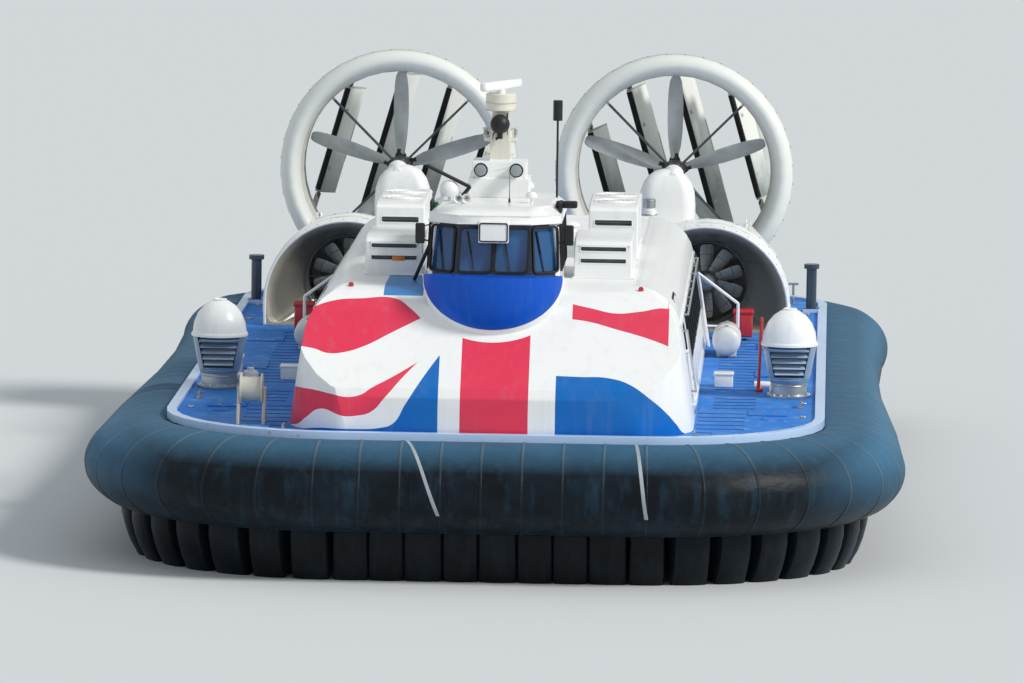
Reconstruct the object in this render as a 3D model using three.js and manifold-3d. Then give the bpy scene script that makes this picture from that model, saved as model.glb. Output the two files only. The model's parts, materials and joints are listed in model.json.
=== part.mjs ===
// Passenger hovercraft, bow towards -Y, port side towards +X, standing on the tips of its skirt fingers at z = 0.
// All sizes are millimetres.
import * as THREE from "three";
import { mergeVertices } from "three/addons/utils/BufferGeometryUtils.js";
import Module from "manifold-3d";

const wasm = await Module();
wasm.setup();

// Driving dimensions of the whole craft
const LENGTH = 23700;
const BEAM = 12800;
const BAG_REACH = 1250; // how far the skirt bag stands out from the hull's bow and stern
const DECK_Z = 2200;
const HULL_TOP_Z = 2120;
const HULL_BOTTOM_Z = 1200;
const DECK_HALF = BEAM / 2 - BAG_REACH;
const DECK_FRONT = -LENGTH / 2 + BAG_REACH;
const DECK_REAR = LENGTH / 2 - BAG_REACH;
const BOW_CORNER = 2800;
const STERN_CORNER = 1500;
const JACKING_PAD = {
  half: 180,
  height: 20,
  places: [[4400, -7700], [-4400, -7700], [4500, 6900], [-4500, 6900]],
};
const SEAT = 0.3; // gap left between two pieces that touch
const PIN_GAP = 0.6; // gap between a turning piece and the bearing that carries it

// Skirt
const BAG_CENTRE = { n: 300, z: 1430 };
const BAG_RADII = { n: BAG_REACH - BAG_CENTRE.n, z: 725 };
const BAG_FOOT = { inner: -350, z: 760 };
// How much of that reach the bag has at each y: it bulges at the bow's corners and is slim along the sides
const SWELL = [
  [-12000, 1], [-10500, 1.05], [-9000, 1.1], [-4600, 1], [0, 0.82], [3500, 0.77], [8000, 0.86], [10500, 1],
];
const FINGERS = 104;
const STEPS_PER_FINGER = 3;
const FINGER = { topOut: 640, tipOut: 420, bulge: 110, tipIn: 320, topIn: -350 };

// Passenger cabin
const CABIN = {
  half: 3160, lean: 0.16, rear: 3000, noseRear: -8300, front: -10420, top: 4350, shoulder: 600, wall: 60,
};
const ROOF_HALF = 2150;
const WINDOW = { count: 9, first: -5450, pitch: 950, width: 760, low: 2880, high: 3600 };
const DOOR = { front: -7500, rear: -6500, low: 2260, high: 4050, gap: 14 };

const DOOR_HINGE = { x: CABIN.half + 26, y: DOOR.front - 30, low: 2430, high: 3220 };

// Wheelhouse
const HOUSE = {
  low: 4000, high: 5370, rear: -6450, front: -9450, half: 1060, brow: 620, wall: 50, lean: 60, rake: 280,
};
const HOUSE_GLASS = { low: 4640, high: 5325 };

// Propulsion
const DUCT = { x: 2450, z: 4580, front: 8400, chord: 1700, bore: 1720, cant: 16 };
const PROP = { y: 9200, radius: 1692, hub: 190, blades: 5 };
const RUDDER = { offsets: [-1310, -440, 440, 1310], stock: 10380, chord: 760, thick: 90, reach: 1760, set: -25 };

const PYLON_OFFSET = 100; // how far the pylon's fairing stands inboard of the propeller shaft

// Lift fans
const FAN = {
  x: 3110, archZ: 2620, archR: 1440, front: 4400, rear: 5800, eyeR: 700, eyeZ: 3020, rotorR: 640, wall: 60,
};
const CASING = { inner: 1780, outer: 4300, front: 5800, rear: 7840, top: 3780, wall: 40 };

// Roof boxes: the ventilation intakes beside the wheelhouse, and the air-conditioning units behind them
const VENT = { x: [1200, 2120], y: [-7300, -5700], top: 4980, slots: [4600, 4790], slotHeight: 65 };
const COOLER = { x: [1330, 2130], y: [-4300, -1900], top: 5230, slots: [4900], slotHeight: 90 };

// Bow thrusters
const THRUSTER = { x: 4620, y: -4650, pipeR: 290, pipeTop: 2440, mouthR: 440, top: 3640 };

// Paint and materials
const paint = (color, roughness = 0.45, metalness = 0) =>
  new THREE.MeshStandardMaterial({ color, roughness, metalness });
const LOOK = {
  white: paint(0xeef0ee),
  cream: paint(0xd9d8cf),
  deckBlue: paint(0x2f62b8, 0.8),
  flagWhite: paint(0xf1efee, 0.35),
  chinBlue: paint(0x0b45b5, 0.35),
  rubber: paint(0x1d2530, 0.75),
  fingerRubber: paint(0x12161c, 0.85),
  aluminium: paint(0xa9b0b4, 0.5, 0.8),
  glass: new THREE.MeshStandardMaterial({ color: 0x1b2a38, roughness: 0.08, transparent: true, opacity: 0.6 }),
  seatFabric: paint(0x27406e, 0.9),
  black: paint(0x16181a, 0.5),
  blade: paint(0x2b3032, 0.4),
  engine: paint(0x6d7678, 0.6, 0.4),
};

const craft = new THREE.Group();
craft.name = "hovercraft";

// Geometry to solid and back
function solid(geometry) {
  const plain = geometry.index ? geometry.toNonIndexed() : geometry.clone();
  plain.deleteAttribute("normal");
  plain.deleteAttribute("uv");
  const merged = mergeVertices(plain, 1e-3);
  return new wasm.Manifold(
    new wasm.Mesh({
      numProp: 3,
      vertProperties: merged.attributes.position.array,
      triVerts: new Uint32Array(merged.index.array),
    }),
  );
}

function add(name, made, material) {
  const mesh = made.getMesh();
  const geometry = new THREE.BufferGeometry();
  const positions = new Float32Array(mesh.numVert * 3);
  for (let i = 0; i < mesh.numVert; i++) {
    positions.set(mesh.vertProperties.subarray(i * mesh.numProp, i * mesh.numProp + 3), i * 3);
  }
  geometry.setAttribute("position", new THREE.BufferAttribute(positions, 3));
  geometry.setIndex(new THREE.BufferAttribute(mesh.triVerts, 1));
  geometry.computeVertexNormals();
  const piece = new THREE.Mesh(geometry, material);
  piece.name = name;
  craft.add(piece);
}

const join = (...pieces) => pieces.reduce((a, b) => a.add(b));
const moved = (made, x, y, z) => made.translate([x, y, z]);
const turned = (made, x, y, z) => made.rotate([x, y, z]);

// Basic forms
function box(x, y, z) {
  const geometry = new THREE.BoxGeometry(x[1] - x[0], y[1] - y[0], z[1] - z[0]);
  geometry.translate((x[0] + x[1]) / 2, (y[0] + y[1]) / 2, (z[0] + z[1]) / 2);
  return solid(geometry);
}

// A cylinder or cone between two points
function rod(from, to, radius, sides = 12, radiusEnd = radius) {
  const a = new THREE.Vector3(...from);
  const b = new THREE.Vector3(...to);
  const geometry = new THREE.CylinderGeometry(radiusEnd, radius, a.distanceTo(b), sides);
  const aim = new THREE.Quaternion().setFromUnitVectors(
    new THREE.Vector3(0, 1, 0),
    b.clone().sub(a).normalize(),
  );
  geometry.applyQuaternion(aim);
  geometry.translate((a.x + b.x) / 2, (a.y + b.y) / 2, (a.z + b.z) / 2);
  return solid(geometry);
}

const shapeOf = (points) => new THREE.Shape(points.map(([u, v]) => new THREE.Vector2(u, v)));

function extrude(points, depth) {
  return new THREE.ExtrudeGeometry(shapeOf(points), { depth, bevelEnabled: false, curveSegments: 8 });
}

// A plan outline (x, y) raised from z0 to z1
function raise(points, z0, z1) {
  const geometry = extrude(points, z1 - z0);
  geometry.translate(0, 0, z0);
  return solid(geometry);
}

// A cross-section (x, z) run along Y
function runY(points, y0, y1) {
  const geometry = extrude(points, y1 - y0);
  geometry.rotateX(Math.PI / 2);
  geometry.translate(0, y1, 0);
  return solid(geometry);
}

// A side profile (y, z) run along X
function runX(points, x0, x1) {
  const geometry = extrude(points, x1 - x0);
  geometry.rotateY(Math.PI / 2);
  geometry.rotateX(Math.PI / 2);
  geometry.translate(x0, 0, 0);
  return solid(geometry);
}

// A profile (radius, y) turned about the Y axis
function turnY(points, sides) {
  return solid(new THREE.LatheGeometry(points.map(([r, y]) => new THREE.Vector2(r, y)), sides));
}

// A profile (radius, z) turned about the Z axis
function turnZ(points, sides) {
  const geometry = new THREE.LatheGeometry(points.map(([r, z]) => new THREE.Vector2(r, z)), sides);
  geometry.rotateX(Math.PI / 2);
  return solid(geometry);
}

// Rings of 3-D points joined in order: closed on itself, or capped at both ends
function loft(rings, closed = false) {
  const count = rings[0].length;
  const points = rings.flat();
  const faces = [];
  const last = closed ? rings.length : rings.length - 1;
  for (let i = 0; i < last; i++) {
    const a = i * count;
    const b = ((i + 1) % rings.length) * count;
    for (let k = 0; k < count; k++) {
      const next = (k + 1) % count;
      faces.push(a + k, a + next, b + next, a + k, b + next, b + k);
    }
  }
  if (!closed) {
    const lift = (rings.length - 1) * count;
    for (let k = 1; k < count - 1; k++) {
      faces.push(0, k + 1, k, lift, lift + k, lift + k + 1);
    }
  }
  const geometry = new THREE.BufferGeometry();
  geometry.setAttribute("position", new THREE.Float32BufferAttribute(points.flat(), 3));
  geometry.setIndex(faces);
  const made = solid(geometry);
  if (made.volume() > 0) {
    return made;
  }
  for (let i = 0; i < faces.length; i += 3) {
    [faces[i], faces[i + 1]] = [faces[i + 1], faces[i]];
  }
  geometry.setIndex(faces);
  return solid(geometry);
}

const arc = (cx, cy, r, from, to, steps) =>
  Array.from({ length: steps + 1 }, (_, i) => {
    const a = ((from + ((to - from) * i) / steps) * Math.PI) / 180;
    return [cx + r * Math.cos(a), cy + r * Math.sin(a)];
  });

// A function that makes the same thing on both sides: side is 1 for port and -1 for starboard
const SIDES = [
  ["port", 1],
  ["starboard", -1],
];
const mirrored = (made, side) => (side > 0 ? made : made.mirror([1, 0, 0]));

// Hull outline in plan, grown outwards by n, with extra points at the given y along both sides
function deckPath(n, extra = []) {
  const half = DECK_HALF + n;
  const front = DECK_FRONT - n;
  const rear = DECK_REAR + n;
  const bow = BOW_CORNER + n;
  const stern = STERN_CORNER + n;
  return [
    ...arc(half - bow, front + bow, bow, -90, 0, 9),
    ...extra.map((y) => [half, y]),
    ...arc(half - stern, rear - stern, stern, 0, 90, 5),
    ...arc(-half + stern, rear - stern, stern, 90, 180, 5),
    ...extra.map((y) => [-half, y]).reverse(),
    ...arc(-half + bow, front + bow, bow, 180, 270, 9),
  ];
}

// Share of the bag's reach at a given y
function swell(y) {
  const i = Math.max(1, SWELL.findIndex(([at]) => at > y));
  if (y > SWELL[SWELL.length - 1][0]) {
    return 1;
  }
  const [y0, s0] = SWELL[i - 1];
  const [y1, s1] = SWELL[i];
  return s0 + ((s1 - s0) * (y - y0)) / (y1 - y0);
}

// Evenly spaced stations round the hull outline, each with its outward direction
function stations(count) {
  const path = new THREE.Path(deckPath(0).map(([x, y]) => new THREE.Vector2(x, y)));
  path.closePath();
  const curve = new THREE.CurvePath();
  curve.curves = path.curves;
  return Array.from({ length: count }, (_, i) => {
    const point = curve.getPointAt(i / count);
    const ahead = curve.getPointAt(((i + 0.5) / count) % 1);
    const behind = curve.getPointAt(((i - 0.5 + count) / count) % 1);
    const along = ahead.sub(behind).normalize();
    return { x: point.x, y: point.y, nx: along.y, ny: -along.x };
  });
}

function buildHull() {
  const raft = raise(deckPath(-SEAT), HULL_BOTTOM_Z, HULL_TOP_Z);
  const skid = (x) =>
    runX([[-8200, 1210], [-7800, 1000], [8200, 1000], [8600, 1210]], x - 220, x + 220);
  add("hull", join(raft, skid(2600), skid(0), skid(-2600)), LOOK.aluminium);
  const deck = raise(deckPath(-100 - SEAT), HULL_TOP_Z + SEAT, DECK_Z);
  const pads = JACKING_PAD.places.map(([x, y]) => {
    const half = JACKING_PAD.half;
    return box([x - half, x + half], [y - half, y + half], [DECK_Z - 20, DECK_Z + JACKING_PAD.height]);
  });
  add("deck_plate", join(deck, ...pads), LOOK.deckBlue);

  const strake = raise(deckPath(60), HULL_TOP_Z + SEAT, DECK_Z + 50)
    .subtract(raise(deckPath(-100), HULL_TOP_Z - 10, DECK_Z + 60));
  const post = (x, y) => join(
    rod([x, y, DECK_Z + SEAT], [x, y, DECK_Z + 780], 95, 10),
    rod([x, y, DECK_Z + 780], [x, y, DECK_Z + 860], 140, 10),
    box([x - 150, x + 150], [y - 150, y + 150], [DECK_Z + SEAT, DECK_Z + 80]),
  );
  const postX = DECK_HALF - 220;
  add("gunwale", join(strake, post(postX, 8000), post(-postX, 8000)), LOOK.white);
}

function buildSkirt() {
  const belly = Array.from({ length: 10 }, (_, i) => {
    const a = ((100 - (162 * i) / 9) * Math.PI) / 180;
    return [BAG_CENTRE.n + BAG_RADII.n * Math.cos(a), BAG_CENTRE.z + BAG_RADII.z * Math.sin(a)];
  });
  const section = [
    [0, HULL_TOP_Z - 50],
    ...belly,
    [BAG_FOOT.inner, BAG_FOOT.z + SEAT],
    [BAG_FOOT.inner, HULL_BOTTOM_Z - SEAT],
    [0, HULL_BOTTOM_Z - SEAT],
  ];
  const sides = [-6500, -4200, -2000, 200, 2400, 4600, 7000];
  const inner = deckPath(0, sides);
  const outer = deckPath(BAG_REACH, sides);
  const rings = inner.map(([x, y], i) =>
    section.map(([n, z]) => {
      const share = (n / BAG_REACH) * (n > 0 ? swell(y) : 1);
      return [x + (outer[i][0] - x) * share, y + (outer[i][1] - y) * share, z];
    }),
  );
  add("skirt_bag", loft(rings, true), LOOK.rubber);

  const fingerRings = stations(FINGERS * STEPS_PER_FINGER).map((s, i) => {
    const bulge = FINGER.bulge * Math.sin((Math.PI * (i % STEPS_PER_FINGER)) / STEPS_PER_FINGER);
    const reach = swell(s.y);
    const at = (n, z) => [s.x + s.nx * n, s.y + s.ny * n, z];
    return [
      at(FINGER.topOut * reach + bulge, BAG_FOOT.z),
      at(FINGER.tipOut * reach + bulge, 0),
      at(FINGER.tipIn, 0),
      at(FINGER.topIn, BAG_FOOT.z),
    ];
  });
  add("skirt_fingers", loft(fingerRings, true), LOOK.fingerRubber);
}

// Cabin cross-section (x, z) with upright sides, shrunk by the wall thickness for its inside
function uprightSection(inset, low) {
  const half = CABIN.half - inset;
  const top = CABIN.top - inset;
  const r = CABIN.shoulder - inset;
  return [
    [half, low],
    ...arc(half - r, top - r, r, 0, 90, 6),
    ...arc(-half + r, top - r, r, 90, 180, 6),
    [-half, low],
  ];
}

// The same with its sides leaning inwards, as built
const cabinSection = (inset, low) =>
  uprightSection(inset, low).map(([x, z]) => [x - Math.sign(x) * CABIN.lean * (z - DECK_Z), z]);

// Leans what was made upright on the port side of the cabin
const leaned = (made) =>
  made.transform([1, 0, 0, 0, 0, 1, 0, 0, -CABIN.lean, 0, 1, 0, CABIN.lean * DECK_Z, 0, 0, 1]);

// The nose is where a side profile, a plan and the cabin's cross-section meet
function noseForm(inset, rear) {
  const front = CABIN.front + inset;
  const top = CABIN.top - inset;
  const low = DECK_Z - (inset ? 100 : -SEAT);
  const rise = new THREE.QuadraticBezierCurve(
    new THREE.Vector2(front + 880 + inset * 0.2, top - 520),
    new THREE.Vector2(front + 1180, top),
    new THREE.Vector2(front + 1900, top),
  ).getPoints(6).map((p) => [p.x, p.y]);
  // Columns: height above the deck, distance behind the nose's front line
  const stem = [[200, -12], [380, 6], [540, 54], [700, 134]].map(([z, y]) => [front + y, DECK_Z + z]);
  const profile = [[rear, low], [front - 8, low], ...stem, ...rise, [rear, top]];
  const side = runX(profile, -CABIN.half - 50, CABIN.half + 50);
  const section = runY(cabinSection(inset, low), front - 100, rear);
  const half = CABIN.half - inset;
  const r = 1150 - inset;
  const plan = raise(
    [
      [half, rear],
      ...arc(half - r, front + 60 + r, r, 0, -80, 6),
      [0, front - 20],
      ...arc(-half + r, front + 60 + r, r, -100, -180, 6),
      [-half, rear],
    ],
    low - 50,
    top + 50,
  );
  return side.intersect(section).intersect(plan);
}

function buildCabin() {
  const cabinFront = CABIN.noseRear + SEAT;
  const low = DECK_Z + SEAT;
  const tube = (section) => runY(section(0, low), cabinFront, CABIN.rear)
    .subtract(runY(section(CABIN.wall, low - 50), cabinFront - 50, CABIN.rear + 50));
  const noseShell = noseForm(0, CABIN.noseRear).subtract(noseForm(CABIN.wall, CABIN.noseRear + 50));
  const hatch = box([-900, 900], [-9000, HOUSE.rear - 150], [CABIN.top - 300, CABIN.top + 50]);
  add("cabin_nose", noseShell.subtract(hatch), LOOK.flagWhite);

  const roof = tube(cabinSection)
    .intersect(box([-ROOF_HALF, ROOF_HALF], [CABIN.noseRear, CABIN.rear], [CABIN.top - 200, CABIN.top + 50]))
    .subtract(hatch);
  add("cabin_roof", roof, LOOK.white);

  const doorCut = box([CABIN.half - 800, CABIN.half + 200], [DOOR.front, DOOR.rear], [DOOR.low, DOOR.high]);
  const lugX = [CABIN.half - 20, DOOR_HINGE.x + 22];
  const lug = (z0) => box(lugX, [DOOR_HINGE.y - 24, DOOR_HINGE.y + 24], [z0, z0 + 50]);
  const sideX = [ROOF_HALF + SEAT, CABIN.half + 50];
  const sideOnly = box(sideX, [CABIN.noseRear, CABIN.rear], [DECK_Z, CABIN.top + 50]);
  for (const [name, side] of SIDES) {
    let wall = tube(uprightSection)
      .intersect(box([500, CABIN.half + 50], [CABIN.noseRear, CABIN.rear], [DECK_Z, CABIN.top + 50]))
      .subtract(doorCut)
      .add(lug(DOOR_HINGE.low - 50))
      .add(lug(DOOR_HINGE.high));
    for (let i = 0; i < WINDOW.count; i++) {
      const y = WINDOW.first + i * WINDOW.pitch;
      wall = wall.subtract(
        box([CABIN.half - 200, CABIN.half + 50], [y - WINDOW.width / 2, y + WINDOW.width / 2], [WINDOW.low, WINDOW.high]),
      );
    }
    add(`cabin_side_${name}`, mirrored(leaned(wall).intersect(sideOnly), side), LOOK.white);

    const inside = CABIN.half - CABIN.wall - SEAT;
    const lastWindow = WINDOW.first + (WINDOW.count - 1) * WINDOW.pitch;
    const pane = box(
      [inside - 12, inside],
      [WINDOW.first - WINDOW.width / 2 - 60, lastWindow + WINDOW.width / 2 + 60],
      [WINDOW.low - 50, WINDOW.high + 50],
    );
    add(`cabin_glazing_${name}`, mirrored(leaned(pane), side), LOOK.glass);
    buildDoor(name, side);
    buildSeats(name, side);
  }

  const bulkhead = runY(cabinSection(0, low), CABIN.rear + SEAT, CABIN.rear + CABIN.wall);
  add("cabin_bulkhead", bulkhead, LOOK.white);
}

function buildDoor(name, side) {
  const y = [DOOR.front + DOOR.gap, DOOR.rear - DOOR.gap];
  const z = [DOOR.low + DOOR.gap, DOOR.high - DOOR.gap];
  const skin = runY(uprightSection(0, 2000), y[0], y[1])
    .subtract(runY(uprightSection(45, 1900), y[0] - 10, y[1] + 10))
    .intersect(box([CABIN.half - 800, CABIN.half + 100], y, z));
  const { x: hingeX, y: hingeY, low, high } = DOOR_HINGE;
  const pin = join(
    rod([hingeX, hingeY, low + 20], [hingeX, hingeY, high - 20], 20, 10),
    rod([hingeX, hingeY, low + 20], [hingeX, hingeY, low + PIN_GAP], 20, 10, 2),
    rod([hingeX, hingeY, high - 20], [hingeX, hingeY, high - PIN_GAP], 20, 10, 2),
  );
  const strap = (h) => join(
    box([CABIN.half + 6, CABIN.half + 30], [hingeY, DOOR.front + 120], [h, h + 80]),
    box([CABIN.half - 20, CABIN.half + 30], [DOOR.front + 40, DOOR.front + 120], [h, h + 80]),
  );
  const window = box([CABIN.half - 200, CABIN.half + 100], [y[0] + 240, y[1] - 240], [WINDOW.low, WINDOW.high]);
  const leaf = join(skin.subtract(window), pin, strap(low + 60), strap(high - 140));
  add(`door_${name}`, mirrored(leaned(leaf), side), LOOK.white);
  const glassX = CABIN.half - 45 - SEAT;
  const pane = box([glassX - 10, glassX], [y[0] + 190, y[1] - 190], [WINDOW.low - 40, WINDOW.high + 20]);
  add(`door_glass_${name}`, mirrored(leaned(pane), side), LOOK.glass);
}

function buildSeats(name, side) {
  const rows = 9;
  const pitch = 860;
  const first = -5500;
  const floor = DECK_Z + SEAT;
  let made = join(
    box([700, 760], [first - 100, first + rows * pitch - 200], [floor, floor + 30]),
    box([2300, 2360], [first - 100, first + rows * pitch - 200], [floor, floor + 30]),
  );
  for (let i = 0; i < rows; i++) {
    const y = first + i * pitch;
    const profile = [
      [y, floor], [y + 380, floor], [y + 470, floor + 1150], [y + 390, floor + 1150],
      [y + 290, floor + 440], [y - 50, floor + 440],
    ];
    made = made.add(runX(profile, 420, 2780));
  }
  add(`seats_${name}`, mirrored(made, side), LOOK.seatFabric);
}

// Wheelhouse plan at a height, shrunk by inset; share runs from 0 at the foot to 1 under the roof
function housePlan(z, inset) {
  const share = (z - HOUSE.low) / (HOUSE.high - HOUSE.low);
  const half = HOUSE.half - HOUSE.lean * share - inset;
  const front = HOUSE.front + HOUSE.rake * share + inset;
  const rear = HOUSE.rear - HOUSE.lean * share - inset;
  const brow = HOUSE.brow - HOUSE.lean * share - inset / 3;
  const cheek = front + 330 - inset / 2;
  return [[half, rear], [-half, rear], [-half, cheek], [-brow, front], [brow, front], [half, cheek]]
    .map(([x, y]) => [x, y, z]);
}
const houseForm = (z0, z1, inset) => loft([housePlan(z0, inset), housePlan(z1, inset)]);

function buildWheelhouse() {
  const below = join(
    noseForm(0, CABIN.noseRear + 10),
    runY(cabinSection(0, DECK_Z), CABIN.noseRear, CABIN.rear),
  ).translate([0, 0, SEAT]);
  const { low, high } = HOUSE_GLASS;
  const mid = (low + high) / 2;
  const corners = housePlan(mid, HOUSE.wall / 2);
  // Each wall's window cuts: the wall's two corners, the number of panes and the margin at each end
  const walls = [
    { from: 0, to: 1, panes: 2, margin: 170 },
    { from: 1, to: 2, panes: 3, margin: 110 },
    { from: 2, to: 3, panes: 1, margin: 50 },
    { from: 3, to: 4, panes: 2, margin: 45 },
    { from: 4, to: 5, panes: 1, margin: 50 },
    { from: 5, to: 0, panes: 3, margin: 110 },
  ];
  let shell = houseForm(HOUSE.low, HOUSE.high, 0)
    .subtract(houseForm(HOUSE.low - 50, HOUSE.high + 50, HOUSE.wall))
    .subtract(below);
  for (const { from, to, panes, margin } of walls) {
    const a = new THREE.Vector3(...corners[from]);
    const b = new THREE.Vector3(...corners[to]);
    const length = a.distanceTo(b);
    const angle = THREE.MathUtils.radToDeg(Math.atan2(b.y - a.y, b.x - a.x));
    const width = (length - 2 * margin - (panes - 1) * 60) / panes;
    for (let i = 0; i < panes; i++) {
      const start = margin + i * (width + 60);
      const cut = box([start, start + width], [-200, 200], [low, high]);
      shell = shell.subtract(moved(turned(cut, 0, 0, angle), a.x, a.y, 0));
    }
  }
  add("wheelhouse_shell", shell, LOOK.white);

  const lining = HOUSE.wall + SEAT;
  const glass = houseForm(low - 30, high + 30, lining).subtract(houseForm(low - 40, high + 40, lining + 12));
  add("wheelhouse_glass", glass, LOOK.glass);

  // The rounded blue chin under the windscreen
  const ball = new THREE.SphereGeometry(1, 28, 18);
  ball.rotateX(Math.PI / 2);
  ball.scale(1150, 800, 1230);
  ball.translate(0, HOUSE.front + 330, low - 40);
  const chin = solid(ball)
    .subtract(box([-2000, 2000], [-12000, 0], [low - 40, low + 3000]))
    .subtract(box([-2000, 2000], [HOUSE.front + 120, 0], [0, 8000]))
    .subtract(below)
    .subtract(houseForm(HOUSE.low - 500, HOUSE.high, -SEAT));
  add("wheelhouse_chin", chin, LOOK.chinBlue);

  // Roof slab with sloped eaves, and the blank box over the windscreen
  const eaves = housePlan(HOUSE.high + SEAT, -35);
  const brim = housePlan(HOUSE.high + 130, -35);
  const crown = housePlan(HOUSE.high + 270, 130);
  const brow = box([-235, 235], [HOUSE.front + 60, HOUSE.front + 260], [HOUSE.high - 270, HOUSE.high + 60])
    .subtract(houseForm(HOUSE.low, HOUSE.high + SEAT, -SEAT));
  add("wheelhouse_roof", join(loft([eaves, brim, crown]), brow), LOOK.white);
  buildHelm();
  buildMast(HOUSE.high + 270 + SEAT);
}

function buildHelm() {
  const floor = DECK_Z + SEAT;
  const stage = box([-820, 820], [-8750, -6900], [floor, 3350]);
  const console = runX([[-8970, 3340], [-8970, 4380], [-8560, 4480], [-8500, 4300], [-8640, 3340]], -700, 700);
  const seat = (x) => join(
    box([x - 60, x + 60], [-7760, -7640], [3340, 3720]),
    box([x - 230, x + 230], [-7960, -7480], [3700, 3830]),
    runX([[-7520, 3800], [-7400, 3800], [-7260, 4620], [-7350, 4640]], x - 220, x + 220),
  );
  const toe = box([-700, 700], [-8970, -8600], [3300, 3360]);
  add("helm_station", join(stage, console, toe, seat(-380), seat(380)), LOOK.black);
}

function buildMast(foot) {
  const y = -7150;
  const x = 0;
  const shaftTop = 7170;
  const plinthTop = foot + 560;
  const plinth = join(
    box([x - 480, x + 480], [y - 420, y + 420], [foot, foot + 300]),
    box([x - 430, x + 430], [y - 340, y + 380], [foot + 290, plinthTop]),
  );
  const column = loft(
    [[170, plinthTop - 10], [120, shaftTop]].map(([half, z]) =>
      [[half, half], [-half, half], [-half, -half], [half, -half]].map(([u, v]) => [x + u, y + v, z])),
  );
  const lamp = (lx, z, r) => join(
    rod([lx, y - 620, z], [lx, y - 370, z], r, 16),
    rod([lx, y - 380, z], [lx, y - 200, z], r * 0.5, 10),
  );
  const headLamp = join(
    rod([x, y - 330, 6790], [x, y - 90, 6790], 95, 16),
    rod([x, y - 120, 6790], [x, y, 6790], 60, 10),
  );
  const yard = box([x - 260, x + 260], [y - 40, y + 40], [6500, 6560]);
  const shelf = join(
    rod([x, y, 6960], [x, y, 7010], 120, 16, 240),
    rod([x, y, 7000], [x, y, shaftTop + 90], 240, 16),
  );
  const lamps = [lamp(x - 280, foot + 450, 105), lamp(x + 280, foot + 450, 105)];
  add("mast", join(plinth, column, yard, shelf, headLamp, ...lamps), LOOK.cream);

  const stub = rod([x, y, shaftTop + 90 + PIN_GAP], [x, y, shaftTop + 160], 70, 14);
  const bar = runX([[-55, -70], [55, -70], [70, 0], [45, 75], [-45, 75], [-70, 0]], -620, 620);
  const scanner = join(stub, moved(turned(bar, 0, 0, 64), x, y, shaftTop + 220));
  add("radar_scanner", scanner, LOOK.white);
}

function buildRoofVents() {
  const low = CABIN.top + SEAT;
  const boxOf = ({ x, y, top, slots, slotHeight }) => {
    const profile = [
      [y[0], low], [y[1], low], [y[1], top - 60], [y[1] - 90, top], [y[0] + 120, top], [y[0], top - 90],
    ];
    return slots.reduce(
      (made, z) => made.subtract(box([x[0] + 100, x[1] - 100], [y[0] - 10, y[0] + 140], [z, z + slotHeight])),
      runX(profile, x[0], x[1]),
    );
  };
  for (const [name, side] of SIDES) {
    add(`roof_vent_${name}`, mirrored(boxOf(VENT), side), LOOK.white);
    add(`roof_cooler_${name}`, mirrored(boxOf(COOLER), side), LOOK.white);
  }
}

// Lift fan: an arched housing on the deck with a flared mouth that narrows to the fan's round eye
function buildLiftFans() {
  const floor = DECK_Z + SEAT;
  const archOf = (r) => [[r, floor], ...arc(0, FAN.archZ, r, 0, 180, 20), [-r, floor]];
  const eyeY = FAN.front + 620;
  const steps = 32;
  const ring = (r, y, z) => Array.from({ length: steps }, (_, i) => {
    const a = (2 * Math.PI * i) / steps;
    return [r * Math.cos(a), y, Math.max(z + r * Math.sin(a), floor + FAN.wall)];
  });
  const mouth = loft([
    ring(FAN.archR - 40, FAN.front - 20, FAN.archZ),
    ring(FAN.archR - 130, FAN.front + 160, FAN.archZ),
    ring(FAN.eyeR, eyeY, FAN.eyeZ),
  ]);
  const bore = rod([0, eyeY - 10, FAN.eyeZ], [0, FAN.rear - 90, FAN.eyeZ], FAN.eyeR, steps);
  const body = runY(archOf(FAN.archR), FAN.front, FAN.rear);
  for (const [name, side] of SIDES) {
    const housing = moved(body.subtract(mouth).subtract(bore), side * FAN.x, 0, 0);
    add(`lift_fan_housing_${name}`, housing, LOOK.white);
    const hubRear = FAN.rear - 90 - PIN_GAP;
    let rotor = join(
      rod([0, eyeY + 60, FAN.eyeZ], [0, eyeY + 420, FAN.eyeZ], 200, 20),
      rod([0, eyeY + 410, FAN.eyeZ], [0, hubRear, FAN.eyeZ], 70, 12),
      rod([0, eyeY + 62, FAN.eyeZ], [0, eyeY - 60, FAN.eyeZ], 200, 20, 60),
    );
    for (let i = 0; i < 10; i++) {
      const blade = turned(box([-16, 16], [-170, 170], [150, FAN.rotorR]), 0, 0, 38 * side);
      rotor = rotor.add(moved(turned(blade, 0, 36 * i, 0), 0, eyeY + 240, FAN.eyeZ));
    }
    add(`lift_fan_${name}`, moved(rotor, side * FAN.x, 0, 0), LOOK.blade);
  }
}

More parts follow.
